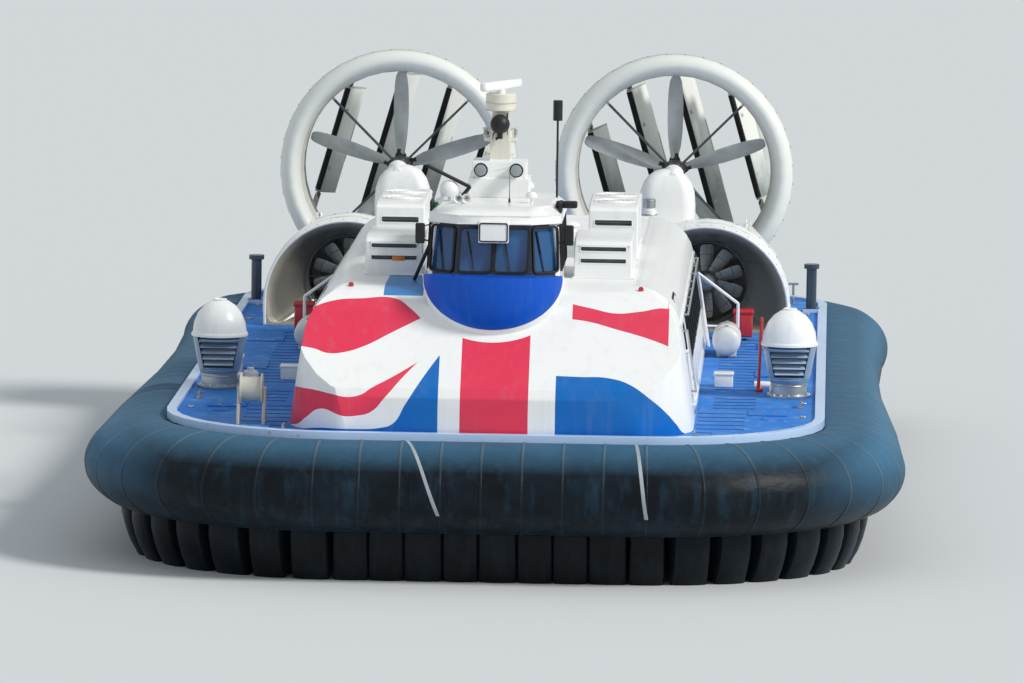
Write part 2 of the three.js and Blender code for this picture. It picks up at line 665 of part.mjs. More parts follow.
function buildEngines() {
  const floor = DECK_Z + SEAT;
  const front = CASING.front + SEAT;
  const profile = (inset, lowZ) => [
    [CASING.inner + inset, lowZ], [CASING.outer - inset, lowZ], [CASING.outer - inset, CASING.top - 520],
    [CASING.outer - 480, CASING.top - inset], [CASING.inner + 300, CASING.top - inset],
    [CASING.inner + inset, CASING.top - 300],
  ];
  for (const [name, side] of SIDES) {
    let casing = runY(profile(0, floor), front, CASING.rear)
      .subtract(runY(profile(CASING.wall, floor - 50), front + CASING.wall, CASING.rear - CASING.wall));
    for (let i = 0; i < 4; i++) {
      casing = casing.subtract(
        box([CASING.outer - 100, CASING.outer + 50], [front + 300, front + 1700], [2700 + i * 130, 2760 + i * 130]),
      );
    }
    const pipe = join(
      rod([2050, 7350, CASING.top - 30], [2050, 7350, 4050], 130, 16),
      rod([2050, 7350, 4040], [2050, 7350, 4200], 95, 16),
    );
    const stack = pipe.subtract(rod([2050, 7350, 3950], [2050, 7350, 4300], 75, 16));
    add(`engine_casing_${name}`, mirrored(casing.add(stack), side), LOOK.white);
    add(`engine_${name}`, mirrored(box([2300, 3450], [5950, 7750], [floor, 3350]), side), LOOK.engine);
  }
}

// The belt-drive pylon that carries each propeller shaft
function buildPylons() {
  const floor = DECK_Z + SEAT;
  const y = [CASING.rear + SEAT, DUCT.front - 20];
  const ring = (z, half, front, rear) => {
    const r = Math.min(half, (rear - front) / 2) * 0.9;
    const fore = arc(half - r, front + r, r, -90, 0, 4);
    const aft = arc(half - r, rear - r, r, 0, 90, 2);
    const right = [...fore, ...aft];
    const left = right.map(([u, v]) => [-u, v]).reverse();
    return [...right, ...left].map(([u, v]) => [u, v, z]);
  };
  // Height, half width, front and rear of the fairing
  const levels = [
    [floor, 500, y[0], y[1]],
    [4080, 500, y[0], y[1]],
    [4300, 480, y[0] + 20, y[1]],
    [4460, 425, y[0] + 60, y[1]],
    [4580, 335, y[0] + 110, y[1]],
    [4655, 225, y[0] + 180, y[1]],
    [4690, 100, y[0] + 260, y[1] - 60],
  ];
  const nacelle = join(
    rod([PYLON_OFFSET, y[1] - 420, DUCT.z], [PYLON_OFFSET, y[1] - 110, DUCT.z], 60, 16, 185),
    rod([PYLON_OFFSET, y[1] - 120, DUCT.z], [PYLON_OFFSET, DUCT.front + 500, DUCT.z], 120, 16, 185),
  );
  const fairing = loft(levels.map(([z, half, front, rear]) => ring(z, half, front, rear))).add(nacelle);
  for (const [name, side] of SIDES) {
    add(`drive_pylon_${name}`, mirrored(moved(fairing, DUCT.x - PYLON_OFFSET, 0, 0), side), LOOK.white);
  }
}

function buildDucts() {
  const { front, chord, bore } = DUCT;
  // Radius and distance from the lip, round the duct's aerofoil section
  const foil = [
    [bore, 420], [bore + 55, 120], [bore + 150, 15], [bore + 235, 0], [bore + 330, 50], [bore + 395, 180],
    [bore + 405, 380], [bore + 350, 850], [bore + 200, chord], [bore + 140, chord], [bore, 1050], [bore, 420],
  ];
  const ring = turnY(foil.map(([r, y]) => [r, front + y]), 40);
  const tail = front + chord;
  // Rudder brackets stand out behind the duct's rim, above and below each rudder
  const bracketAt = (x, sign) => {
    const rim = Math.sqrt((bore + 165) ** 2 - x ** 2);
    const z0 = rudderHalf(x) + 40 + PIN_GAP;
    const span = [z0, rim + 10].map((z) => z * sign).sort((a, b) => a - b);
    return box([x - 45, x + 45], [tail - 60, RUDDER.stock + 70], span);
  };
  const brackets = RUDDER.offsets.flatMap((x) => [bracketAt(x, 1), bracketAt(x, -1)]);
  // Four vanes hold the bearing in front of the propeller
  const bearingY = [front + 500 + SEAT, PROP.y - 180];
  const vane = box([-20, 20], [bearingY[0] + 10, bearingY[1] - 10], [150, bore + 40]);
  const vanes = [45, 135, 225, 315].map((a) => turned(vane, 0, a, 0));
  const bearing = rod([0, bearingY[0], 0], [0, bearingY[1], 0], 200, 16);
  const foot = (x) => box([x - 60, x + 60], [front + 300, front + 1300], [DECK_Z + SEAT - DUCT.z, -bore + 250]);
  const clear = rod([0, front - 100, 0], [0, tail + 100, 0], bore + 110, 40);
  for (const [name, side] of SIDES) {
    const canted = turned(join(ring, ...brackets), 0, -DUCT.cant * side, 0);
    const feet = join(foot(-620), foot(620)).subtract(clear);
    const duct = join(canted, bearing, ...vanes, feet);
    add(`duct_${name}`, moved(duct, side * DUCT.x, 0, DUCT.z), LOOK.cream);
    buildPropeller(name, side, bearingY[1] + PIN_GAP);
    buildRudders(name, side);
  }
}

// Half height of a rudder blade that hangs at x behind the round duct
const rudderHalf = (x) => Math.sqrt(RUDDER.reach ** 2 - x ** 2) - 190;

function buildRudders(name, side) {
  const nose = RUDDER.thick / 2;
  RUDDER.offsets.forEach((x, i) => {
    const half = rudderHalf(x);
    const plan = [
      ...arc(0, 0, nose, 90, 270, 5).map(([u, v]) => [v, u - 60]),
      [-nose * 0.9, 200], [-8, RUDDER.chord - 140], [8, RUDDER.chord - 140], [nose * 0.9, 200],
    ];
    const blade = raise(plan, -half, half);
    const stock = rod([0, 0, -half - 40], [0, 0, half + 40], 28, 12);
    const rudder = moved(turned(join(blade, stock), 0, 0, RUDDER.set), x, RUDDER.stock, 0);
    const placed = moved(turned(rudder, 0, -DUCT.cant * side, 0), side * DUCT.x, 0, DUCT.z);
    add(`rudder_${name}_${i + 1}`, placed, LOOK.cream);
  });
}

function buildPropeller(name, side, shaftFront) {
  const hub = join(
    rod([0, shaftFront, 0], [0, PROP.y - 120, 0], 85, 10),
    rod([0, PROP.y - 130, 0], [0, PROP.y + 150, 0], PROP.hub, 16),
    rod([0, PROP.y + 150, 0], [0, PROP.y + 420, 0], PROP.hub, 16, 50),
  );
  // Radius, chord, thickness and blade angle
  const table = [
    [150, 190, 90, 58], [420, 300, 56, 46], [900, 330, 38, 34], [1430, 280, 24, 25], [PROP.radius, 160, 14, 21],
  ];
  const rings = table.map(([r, chord, thick, angle]) => {
    const a = (angle * Math.PI) / 180;
    const outline = [[-0.5, 0], [-0.25, 0.5], [0.1, 0.45], [0.5, 0], [0.1, -0.45], [-0.25, -0.5]];
    return outline.map(([u, v]) => {
      const along = u * chord;
      const off = v * thick;
      return [along * Math.cos(a) - off * Math.sin(a), along * Math.sin(a) + off * Math.cos(a), r];
    });
  });
  const blade = loft(rings);
  const blades = Array.from({ length: PROP.blades }, (_, i) =>
    turned(blade, 0, (360 * i) / PROP.blades, 0).translate([0, PROP.y, 0]));
  const made = mirrored(join(hub, ...blades), side);
  add(`propeller_${name}`, moved(made, side * DUCT.x, 0, DUCT.z), LOOK.blade);
}

// Bow thruster: a fixed pipe out of the deck, and a domed nozzle that turns on it
function buildThrusters() {
  const { pipeR, pipeTop, mouthR, top } = THRUSTER;
  const floor = DECK_Z + SEAT;
  const pipe = turnZ([
    [0, floor], [pipeR + 70, floor], [pipeR + 70, floor + 50], [pipeR, floor + 60], [pipeR, pipeTop], [0, pipeTop],
  ], 20);
  const foot = pipeTop + PIN_GAP;
  const lip = 3060;
  const dome = Array.from({ length: 6 }, (_, i) => {
    const a = (Math.PI / 2) * (i / 5);
    return [mouthR * Math.cos(a), lip + 30 + (top - lip - 30) * Math.sin(a)];
  });
  const cowl = turnZ([[0, foot], [pipeR + 20, foot], [pipeR + 60, foot + 120], [mouthR, lip], ...dome], 24);
  const mouth = loft([
    [[-340, -600, lip - 20], [340, -600, lip - 20], [340, -60, lip - 20], [-340, -60, lip - 20]],
    [[-240, -600, foot + 100], [240, -600, foot + 100], [240, -60, foot + 100], [-240, -60, foot + 100]],
  ]);
  const nozzle = cowl.subtract(mouth);
  for (const [name, side] of SIDES) {
    const place = (made) => moved(made, side * THRUSTER.x, THRUSTER.y, 0);
    add(`bow_thruster_base_${name}`, place(pipe), LOOK.aluminium);
    add(`bow_thruster_nozzle_${name}`, place(nozzle), LOOK.white);
  }
}

function buildDeckGear() {
  const floor = DECK_Z + SEAT;
  for (const [name, side] of SIDES) {
    const canister = join(
      rod([3530, 600, floor + 280], [3530, 1700, floor + 280], 230, 18),
      box([3370, 3690], [800, 880], [floor, floor + 200]),
      box([3370, 3690], [1420, 1500], [floor, floor + 200]),
    );
    add(`liferaft_${name}`, mirrored(canister, side), LOOK.white);

    const r = 26;
    const railY = 2300;
    const wallX = CABIN.half + 2 * r;
    const rail = join(
      rod([3700, railY, floor], [3700, railY, 2960], r, 8),
      rod([3700, railY, 2950], [wallX - CABIN.lean * 1260, railY, 3460], r, 8),
      rod([wallX, railY, floor + r * CABIN.lean], [wallX - CABIN.lean * 1260, railY, 3480], r, 8),
      rod([3700, railY, 2560], [wallX - CABIN.lean * 360, railY, 2560], r * 0.7, 8),
    );
    add(`side_rail_${name}`, mirrored(rail, side), LOOK.white);
  }
  const x = -3760;
  const y = -9300;
  const leg = (side, foot) => rod([x + side * 200, y + foot, floor - 20], [x + side * 200, y, floor + 560], 28, 6);
  const reel = join(
    leg(1, -230), leg(1, 230), leg(-1, -230), leg(-1, 230),
    rod([x - 230, y, floor + 540], [x + 230, y, floor + 540], 40, 8),
    rod([x - 150, y, floor + 540], [x + 150, y, floor + 540], 190, 12),
    rod([x - 175, y, floor + 540], [x - 150, y, floor + 540], 250, 12),
    rod([x + 150, y, floor + 540], [x + 175, y, floor + 540], 250, 12),
  );
  add("mooring_reel", reel.subtract(box([x - 400, x + 400], [y - 400, y + 400], [2000, floor])), LOOK.white);
}

buildHull();
buildSkirt();
buildCabin();
buildWheelhouse();
buildRoofVents();
buildLiftFans();
buildEngines();
buildPylons();
buildDucts();
buildThrusters();
buildDeckGear();

export default craft;
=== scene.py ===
"""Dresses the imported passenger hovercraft: skirt, paint, glazing, deck gear and fans, in metres."""

import json
import math
from functools import partial

import bmesh
import bpy
from mathutils import Matrix, Vector


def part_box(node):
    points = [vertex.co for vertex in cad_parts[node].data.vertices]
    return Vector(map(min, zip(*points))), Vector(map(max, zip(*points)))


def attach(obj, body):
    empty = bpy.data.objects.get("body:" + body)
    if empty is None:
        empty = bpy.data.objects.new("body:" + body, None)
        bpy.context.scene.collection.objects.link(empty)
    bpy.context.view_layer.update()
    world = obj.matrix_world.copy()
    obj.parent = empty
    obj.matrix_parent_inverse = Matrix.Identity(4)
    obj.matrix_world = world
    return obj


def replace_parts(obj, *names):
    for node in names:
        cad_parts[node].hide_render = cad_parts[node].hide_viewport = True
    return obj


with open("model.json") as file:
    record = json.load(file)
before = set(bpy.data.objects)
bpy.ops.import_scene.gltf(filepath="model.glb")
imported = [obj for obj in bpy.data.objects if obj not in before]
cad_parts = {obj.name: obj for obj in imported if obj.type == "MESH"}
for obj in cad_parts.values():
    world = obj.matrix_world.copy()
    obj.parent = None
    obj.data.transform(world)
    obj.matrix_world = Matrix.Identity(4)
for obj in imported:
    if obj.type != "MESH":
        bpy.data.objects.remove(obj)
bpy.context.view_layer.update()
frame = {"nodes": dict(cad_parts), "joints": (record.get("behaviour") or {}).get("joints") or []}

bl_info = {
    "name": "Passenger hovercraft",
    "version": (1, 0, 0),
    "blender": (4, 5, 0),
    "location": "View3D > Sidebar > Hovercraft",
    "description": "Models the skirt, livery, glazing, deck gear and fans on the packed hovercraft",
    "category": "Add Mesh",
}

SIDES = {"port": 1, "starboard": -1}
UP, OUT, AFT = Vector((0, 0, 1)), Vector((1, 0, 0)), Vector((0, 1, 0))


def linear(hex_colour):
    """Turns an sRGB hex colour into the linear colour that a shader takes."""
    values = [int(hex_colour[i : i + 2], 16) / 255 for i in (1, 3, 5)]
    return (*(v / 12.92 if v <= 0.04045 else ((v + 0.055) / 1.055) ** 2.4 for v in values), 1.0)


def joint_place(name):
    """Where a joint's axis passes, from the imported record."""
    return Vector(next(j["pos_m"] for j in frame["joints"] if j["name"] == name))


# Main places of the craft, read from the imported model
HULL_LOW, HULL_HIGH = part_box("hull")
DECK_HALF, DECK_FRONT, DECK_REAR = HULL_HIGH.x, HULL_LOW.y, HULL_HIGH.y
NOSE_LOW, NOSE_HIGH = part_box("cabin_nose")
ROOF_TOP, CABIN_HALF = NOSE_HIGH.z, NOSE_HIGH.x
FLOOR, CABIN_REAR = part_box("cabin_bulkhead")[0].z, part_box("cabin_bulkhead")[1].y

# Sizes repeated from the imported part, in metres
CABIN_LEAN, CABIN_FOOT, SHOULDER = 0.16, 2.2, 0.6
WINDOW = {"count": 9, "first": -5.45, "pitch": 0.95, "width": 0.76, "low": 2.88, "high": 3.6}
DOOR = {"front": -7.5, "rear": -6.5, "low": 2.26, "high": 4.05}
HOUSE = {"low": 4.0, "high": 5.37, "rear": -6.45, "front": -9.45, "half": 1.06, "brow": 0.62, "lean": 0.06,
         "rake": 0.28, "glass_low": 4.64, "glass_high": 5.325}
MAST = {"x": 0.0, "y": -7.15, "scanner_turn": 64.0, "steps": (6.28, 6.48, 6.68)}
VENT = {"x": (1.2, 2.12), "y": (-7.3, -5.7), "top": 4.98, "slots": (4.6, 4.79), "slot_height": 0.065}
COOLER = {"x": (1.33, 2.13), "y": (-4.3, -1.9), "top": 5.23, "slots": (4.9,), "slot_height": 0.09}
FAN = {"x": 3.11, "arch_z": 2.62, "arch_r": 1.44, "front": 4.4, "rear": 5.8, "eye_z": 3.02, "blades": 10}
CASING = {"inner": 1.78, "outer": 4.3, "front": 5.8, "rear": 7.84, "top": 3.78}
DUCT = {"x": 2.45, "z": 4.58, "front": 8.4, "chord": 1.7, "bore": 1.72, "cant": 16.0}
PYLON_OFFSET = 0.1
PROP = {"y": 9.2, "blades": 5}
RUDDER = {"offsets": (-1.31, -0.44, 0.44, 1.31), "stock": 10.38, "chord": 0.76, "reach": 1.76, "set": -25.0}
THRUSTER = {"x": 4.62, "y": -4.65, "brim": 3.045}
EXHAUST = Vector((2.05, 7.35, 4.06))
HELM = {"screens": (-0.5, -0.17, 0.17, 0.5), "screen_place": (0, -8.77, 4.432), "seats": (-0.38, 0.38),
        "levers": (-0.06, 0, 0.06), "wheel_y": -8.44, "wheel_z": 4.33}
MIRROR = (1.09, -8.98, 5.2)
WHIP, POLE = (0.2, -8.3), (0.9, -7.0)  # the thin and the thick aerial on the wheelhouse roof
RAFT = {"x": 3.53, "y": 1.15, "z": FLOOR + 0.28, "bands": (0.84, 1.46)}
SEATS = {"rows": 9, "first": -5.5, "pitch": 0.86, "inner": 0.42, "outer": 2.78, "abreast": 4}

# The bag's section: its top edge on the hull, the middle and half height of its belly, and its foot inside the fingers
BAG_TOP = HULL_HIGH.z - 0.05
BELLY_OUT, BELLY_Z, BELLY_HALF = 0.3, 1.43, 0.725
FOOT_IN, FOOT_Z = -0.35, 0.76
PER_PANEL = 6  # stations along one panel of the bag
# Share of the bag's reach at each place along the craft, as (y, share)
SWELL = [(-12.0, 1.0), (-10.5, 1.05), (-9.0, 1.1), (-4.6, 1.0), (0.0, 0.82), (3.5, 0.77), (8.0, 0.86), (10.5, 1.0)]
BOW_STRAPS = [(-1.25, 0.55), (2.3, 0.2)]  # where each strap starts, and how far it runs sideways on its way down

# Each blade section's radius, chord, thickness and angle
PROP_TABLE = [
    (0.14, 0.17, 0.12, 58), (0.24, 0.2, 0.1, 54), (0.42, 0.3, 0.058, 46), (0.66, 0.335, 0.046, 40),
    (0.9, 0.335, 0.038, 34), (1.18, 0.315, 0.03, 29), (1.43, 0.28, 0.024, 25), (1.6, 0.225, 0.017, 22.5),
    (1.67, 0.16, 0.012, 21.5), (1.688, 0.09, 0.008, 21),
]
FAN_TABLE = [(0.15, 0.27, 0.04, 52), (0.3, 0.3, 0.034, 46), (0.48, 0.31, 0.026, 40), (0.6, 0.28, 0.02, 36),
             (0.638, 0.2, 0.012, 35)]

# Small deck and roof fittings: hatches as (x, y, width, length), cleats as (x, y), boxes as (x, y, size)
DECK_HATCHES = [(4.3, -7.0, 0.62, 0.62), (4.35, -1.6, 0.62, 0.9), (4.35, 2.4, 0.62, 0.9), (1.0, 7.2, 0.8, 0.9),
                (3.7, -9.9, 0.5, 0.5)]
DECK_CLEATS = [(4.85, -2.6), (4.85, 3.4), (4.6, 9.4), (3.2, -10.25), (4.82, -6.1)]
TIE_DOWNS = [-7.4, -5.6, -3.4, -1.2, 1.0, 3.2, 5.4, 7.6]
DECK_BOXES = [(4.62, -2.9, (0.5, 0.34, 0.3)), (3.55, -3.4, (0.3, 0.3, 0.22))]
MARKER_LAMPS = [(2.3, -8.75, 4.33), (-2.25, -8.75, 4.33)]
# Bent arm beside the wheelhouse's starboard corner, as (start, end) of its bars, and the dome over it
STRUTS = [((-0.98, -8.3, 4.36), (-0.98, -8.3, 4.95)), ((-0.98, -8.3, 4.93), (-0.92, -8.3, 5.27)),
          ((-0.92, -8.3, 5.25), (-0.42, -8.3, 5.88)), ((-1.1, -8.3, 6.2), (-0.42, -8.3, 5.87)),
          ((-1.3, -8.0, 4.36), (-0.94, -8.3, 5.2))]
STRUT_DOME = (-0.75, -8.24, 5.8)

# Edges of the painted bands on the nose, as (distance across, height) in metres
STARBOARD_BANDS = {
    "upper_top": [(-4.6, 3.2), (-3.6, 3.7), (-2.95, 3.98), (-2.78, 4.06), (-2.47, 4.15), (-2.08, 4.18), (-1.5, 4.18),
                  (-1.29, 4.06), (-1.1, 3.9)],
    "upper_low": [(-4.6, 3.2), (-3.6, 3.5), (-2.79, 3.46), (-2.53, 3.39), (-2.27, 3.41), (-1.95, 3.51), (-1.58, 3.69),
                  (-1.1, 3.92)],
    "lower_top": [(-4.3, 2.6), (-3.4, 2.8), (-2.77, 2.84), (-2.47, 2.8), (-2.2, 2.76), (-1.97, 2.81), (-1.85, 2.89),
                  (-1.52, 3.06), (-1.1, 3.3)],
    "lower_low": [(-4.3, 2.6), (-3.4, 2.2), (-3.03, 2.25), (-2.86, 2.39), (-2.63, 2.55), (-2.26, 2.46), (-2.06, 2.47),
                  (-1.84, 2.53), (-1.61, 2.77), (-1.39, 3.02), (-1.1, 3.31)],
    "blue_top": [(-4.2, 2.2), (-2.97, 2.2), (-2.66, 2.25), (-2.23, 2.26), (-1.68, 2.29), (-1.5, 2.35), (-1.3, 2.66),
                 (-1.08, 3.0), (-0.8, 3.38)],
}
PORT_BANDS = {
    "upper_top": [(1.2, 4.16), (1.52, 4.1), (1.93, 4.03), (2.3, 4.06), (2.71, 4.11), (2.9, 4.05)],
    "upper_low": [(1.2, 3.94), (1.53, 3.9), (1.94, 3.8), (2.31, 3.71), (2.55, 3.64), (2.75, 3.57), (2.9, 3.5)],
    "blue_top": [(1.0, 3.12), (1.4, 3.11), (1.84, 3.1), (2.18, 3.01), (2.58, 2.73), (2.78, 2.53), (2.9, 2.38),
                 (3.05, 2.2), (4.2, 2.15)],
}
STRIPE = {"white": (-0.79, 1.03), "red": (-0.45, 0.61)}
CHIN_OVAL = {"z": 4.55, "half_width": 1.09, "half_height": 0.78, "border": 0.19}
ROOF_PATCH = {"x": (-1.72, -1.1), "y": (-9.12, -7.2), "over": 4.0}
SIDE_START = 1.35  # how far behind the nose's front the sides begin


def length(name, description, default):
    return bpy.props.FloatProperty(name=name, description=description, default=default, unit="LENGTH")


def place(name, description, default):
    return bpy.props.FloatVectorProperty(
        name=name, description=description, default=default, subtype="TRANSLATION", unit="LENGTH"
    )


def colour(name, description, default):
    return bpy.props.FloatVectorProperty(
        name=name, description=description, default=linear(default), size=4, subtype="COLOR", min=0, max=1
    )


class SkirtSettings(bpy.types.PropertyGroup):
    """Sizes of the inflated bag and the fingers below it."""

    bow_corner: length("Bow corner", "Plan radius of the hull's bow corners", 2.8)
    stern_corner: length("Stern corner", "Plan radius of the hull's stern corners", 1.5)
    bag_reach: length("Bag reach", "How far the bag stands out from the hull", 1.25)
    panel: length("Panel width", "Width of one bag panel between two seams", 0.62)
    panel_bulge: length("Panel bulge", "How far the bag swells between two seams", 0.006)
    fingers: bpy.props.IntProperty(name="Fingers", description="Number of fingers round the craft", default=104, min=1)
    bolt_pitch: length("Bolt pitch", "Distance between the bolts of the skirt's clamp strip", 0.3)


class PaintSettings(bpy.types.PropertyGroup):
    """Paint and material colours."""

    white: colour("White", "Gloss marine paint of the superstructure", "#F5F7F7")
    cream: colour("Cream", "Satin paint of the ducts and rudders", "#CCCBC0")
    deck: colour("Deck blue", "Non-slip deck paint", "#1A76CE")
    flag_red: colour("Livery red", "Red of the livery on the nose", "#E83E5C")
    flag_blue: colour("Livery blue", "Blue of the livery on the nose", "#0A6CC0")
    chin: colour("Chin blue", "Gloss blue of the moulding under the windscreen", "#0A58CC")
    bag: colour("Bag", "Coated fabric of the skirt bag", "#090F16")
    finger: colour("Fingers", "Coated fabric of the fingers", "#0B1015")


class StageSettings(bpy.types.PropertyGroup):
    """Where the camera and the lights stand."""

    lens: bpy.props.FloatProperty(
        name="Lens", description="Focal length in mm", default=285.0, subtype="DISTANCE_CAMERA"
    )
    camera: place("Camera", "Where the photograph was taken from", (5.24, -135.04, 17.85))
    aim: place("Aim", "Point at the middle of the picture", (0.1, -4.0, 2.95))
    roll: bpy.props.FloatProperty(
        name="Roll", description="Tilt of the photograph's horizon", default=0.0128, unit="ROTATION"
    )
    sun: bpy.props.FloatProperty(name="Key light", description="Strength of the key light", default=2.5)
    fill: bpy.props.FloatProperty(name="Fill light", description="Strength of the surrounding light", default=0.6)


# Materials


def node(tree, kind, *values, **named):
    """Adds a shader node. Values fill its shown inputs in turn; a capitalised name is an input, another a setting."""
    kind, _, mode = kind.partition(" ")
    made = tree.nodes.new("ShaderNode" + kind)
    if mode:
        setattr(made, "operation" if kind == "Math" else "data_type", mode)
    wires = list(zip((socket for socket in made.inputs if socket.enabled), values))
    for key, value in named.items():
        if key[0].isupper():
            wires.append((made.inputs[key.replace("_", " ")], value))
        else:
            setattr(made, key, value)
    for socket, value in wires:
        if isinstance(value, bpy.types.Node):
            value = next(source for source in value.outputs if source.enabled)
        if isinstance(value, bpy.types.NodeSocket):
            tree.links.new(value, socket)
        else:
            socket.default_value = value
    return made


def start(name):
    """A new material's own node function, its object coordinates, and those as x, y and z."""
    material = bpy.data.materials.new(name)
    material.use_nodes = True
    material.node_tree.nodes.clear()
    n = partial(node, material.node_tree)
    spot = n("TexCoord").outputs["Object"]
    return n, spot, n("SeparateXYZ", spot).outputs


def surface(n, **sockets):
    """Puts the shader, with what its sockets take, on the material."""
    n("OutputMaterial", n("BsdfPrincipled", **sockets))


def grain(n, spot, scale, detail, depth, strength):
    """Fine relief of a skin."""
    return n("Bump", strength, depth, Height=n("TexNoise", spot, scale, detail))


def within(n, value, low, high):
    """1 where a value lies between two others, and else 0."""
    return n("Math MULTIPLY", n("Math GREATER_THAN", value, low), n("Math LESS_THAN", value, high))


def darker(colour, share):
    return (*(c * share for c in colour[:3]), 1.0)


def paint(name, base, layers=None, over=False, streak=0.13, span=0.3, worn=(0.28, 0.53), coat=(0.35, 0.12),
          specular=0.5, skin=(40, 2, 0.0006, 0.35)):
    """Sprayed two-pack marine paint on aluminium: glossy, with soft patches, and rain and salt streaks that run down.

    The layers are masked coats of (share, colour), which lie under the streaks or over them. The skin is orange peel
    of 3 mm, drawn at 25 mm so that it shows.
    """
    n, spot, xyz = start(name)
    coats = layers(n, spot, *xyz) if layers else []

    def masked(tint):
        for share, layer in coats:
            tint = n("Mix RGBA", share, tint, layer)
        return tint

    patches = n("MapRange", n("TexNoise", spot, 0.7, 4), 0.42, 0.72)
    runs = n("MapRange", n("TexNoise", n("Mapping", spot, Scale=(7, 7, 0.55)), 1.0, 4, 0.6), 0.52, 0.8)
    share = n("Math MULTIPLY", n("Math ADD", n("Math MULTIPLY", patches, 0.45), runs), streak)
    tint = n("Mix RGBA", share, base if over else masked(base), linear("#9BA2A6"))
    surface(n, Base_Color=masked(tint) if over else tint, Roughness=n("MapRange", share, 0, span, *worn),
            Coat_Weight=coat[0], Coat_Roughness=coat[1], Specular_IOR_Level=specular, Normal=grain(n, spot, *skin))


def satin(name, base, roughness=0.5, streak=0.3):
    """Satin brushed paint: duller than the gloss, with more dirt held by it."""
    paint(name, base, streak=streak, worn=(roughness, 0.8), coat=(0, 0.03), skin=(60, 4, 0.0008, 0.4))


def deck_paint(name, base):
    """Non-slip deck paint: sharp grit in matte paint, paler where feet and salt have worn it."""
    n, spot, _ = start(name)
    worn = n("MapRange", n("TexNoise", spot, 0.55, 6, 0.6), 0.45, 0.7)
    salt = n("MapRange", n("TexNoise", spot, 3.2, 6, 0.65), 0.55, 0.75)
    tint = n("Mix RGBA", n("Math MULTIPLY", worn, 0.45), base, linear("#6AA6E6"))
    tint = n("Mix RGBA", n("Math MULTIPLY", salt, 0.3), tint, linear("#D6E4F4"))
    # Grit grains of 1 mm, drawn at 12 mm so that they show
    grit = n("Bump", 0.5, 0.002, Height=n("TexVoronoi", spot, 85.0))
    surface(n, Base_Color=tint, Roughness=0.82, Normal=grit)


def coated_fabric(name, base, salt="#5A9AC4"):
    """Rubber-coated nylon: nearly black with a cool sheen, random patches and runs of salt, and a painted highlight
    that makes its top and sides paler in the salt colour.
    """
    n, spot, (x, y, z) = start(name)
    cloudy = n("MapRange", n("TexNoise", spot, 1.3, 6, 0.6), 0.4, 0.75)
    runs = n("MapRange", n("TexNoise", n("Mapping", spot, Scale=(5, 5, 0.8)), 1.0, 5, 0.65), 0.5, 0.78)
    # Painted highlight: the top and the outer sides turn paler in the salt colour, as if lit from above and by the sky
    top = n("MapRange", z, 1.78, 2.12, 0.0, 0.34)
    side = n("MapRange", n("Math ABSOLUTE", x), 4.9, 6.1, 0.0, 0.46)
    side = n("Math MULTIPLY", side, n("MapRange", z, 0.9, 1.9))
    # Random salt patches and runs, plus the painted highlight on the top and the sides
    dust_and_sheen = n("Math ADD", n("Math MULTIPLY", cloudy, 0.04), n("Math MULTIPLY", runs, 0.08))
    dust_and_sheen = n("Math ADD", dust_and_sheen, n("Math MAXIMUM", top, side))
    # Threads of 1.5 mm, drawn at 14 mm so that they show
    weave = n("TexWave", spot, 22.0, 0.6, 2.0, wave_type="BANDS", bands_direction="Z")
    creases = n("Bump", 0.5, 0.05, Height=n("TexNoise", n("Mapping", spot, Scale=(1.6, 1.6, 3.5)), 1.0, 3))
    surface(n, Base_Color=n("Mix RGBA", dust_and_sheen, base, linear(salt)), Roughness=n("MapRange", dust_and_sheen, 0, 0.4, 0.42, 0.68),
            Sheen_Weight=0.06, Sheen_Tint=linear("#9CC4E6"), Specular_IOR_Level=0.16,
            Normal=n("Bump", 0.3, 0.0015, Height=weave, Normal=creases))


def tinted_glass(name, base, alpha):
    """Tinted safety glass: dark blue, smooth, with a faint smear."""
    n, spot, _ = start(name)
    smear = n("MapRange", n("TexNoise", spot, 2.4, 4), 0.45, 0.75, 0.03, 0.12)
    cloud = n("MapRange", n("TexNoise", spot, 1.1, 3), 0.35, 0.7)
    surface(n, Base_Color=n("Mix RGBA", cloud, linear(base), linear("#2B649A")), Roughness=smear, Alpha=alpha,
            Coat_Weight=0.6, Coat_Roughness=0.02)


def bare_metal(name, base, roughness=0.35):
    """Bare metal: brushed along one way, with a dull bloom of oxide."""
    n, spot, _ = start(name)
    bloom = n("MapRange", n("TexNoise", spot, 2.0, 5), 0.4, 0.7)
    tint = n("Mix RGBA", n("Math MULTIPLY", bloom, 0.4), linear(base), darker(linear(base), 0.55))
    surface(n, Base_Color=tint, Metallic=1.0, Roughness=n("MapRange", bloom, 0, 1, roughness, roughness + 0.2),
            Normal=grain(n, n("Mapping", spot, Scale=(60, 2, 2)), 3.0, 3, 0.0006, 0.3))


def moulded(name, base, roughness=0.45, skin=90.0, coat=0.0):
    """Moulded plastic or rubber with a fine grained skin."""
    n, spot, _ = start(name)
    patches = n("MapRange", n("TexNoise", spot, 3.0, 4), 0.35, 0.75)
    surface(n, Base_Color=n("Mix RGBA", patches, linear(base), darker(linear(base), 0.7)), Coat_Weight=coat,
            Roughness=n("MapRange", patches, 0, 1, roughness, roughness + 0.15),
            Normal=grain(n, spot, skin, 2, 0.0006, 0.4))


def seat_cloth(name, base):
    """Woven seat cloth: a small blue weave with a soft sheen."""
    n, spot, _ = start(name)
    # Threads of 2 mm, drawn at 12 mm
    weave = n("TexChecker", spot, linear(base), darker(linear(base), 0.6), 90.0)
    surface(n, Base_Color=weave, Roughness=0.9, Sheen_Weight=0.5, Normal=n("Bump", 0.4, 0.001, Height=weave))


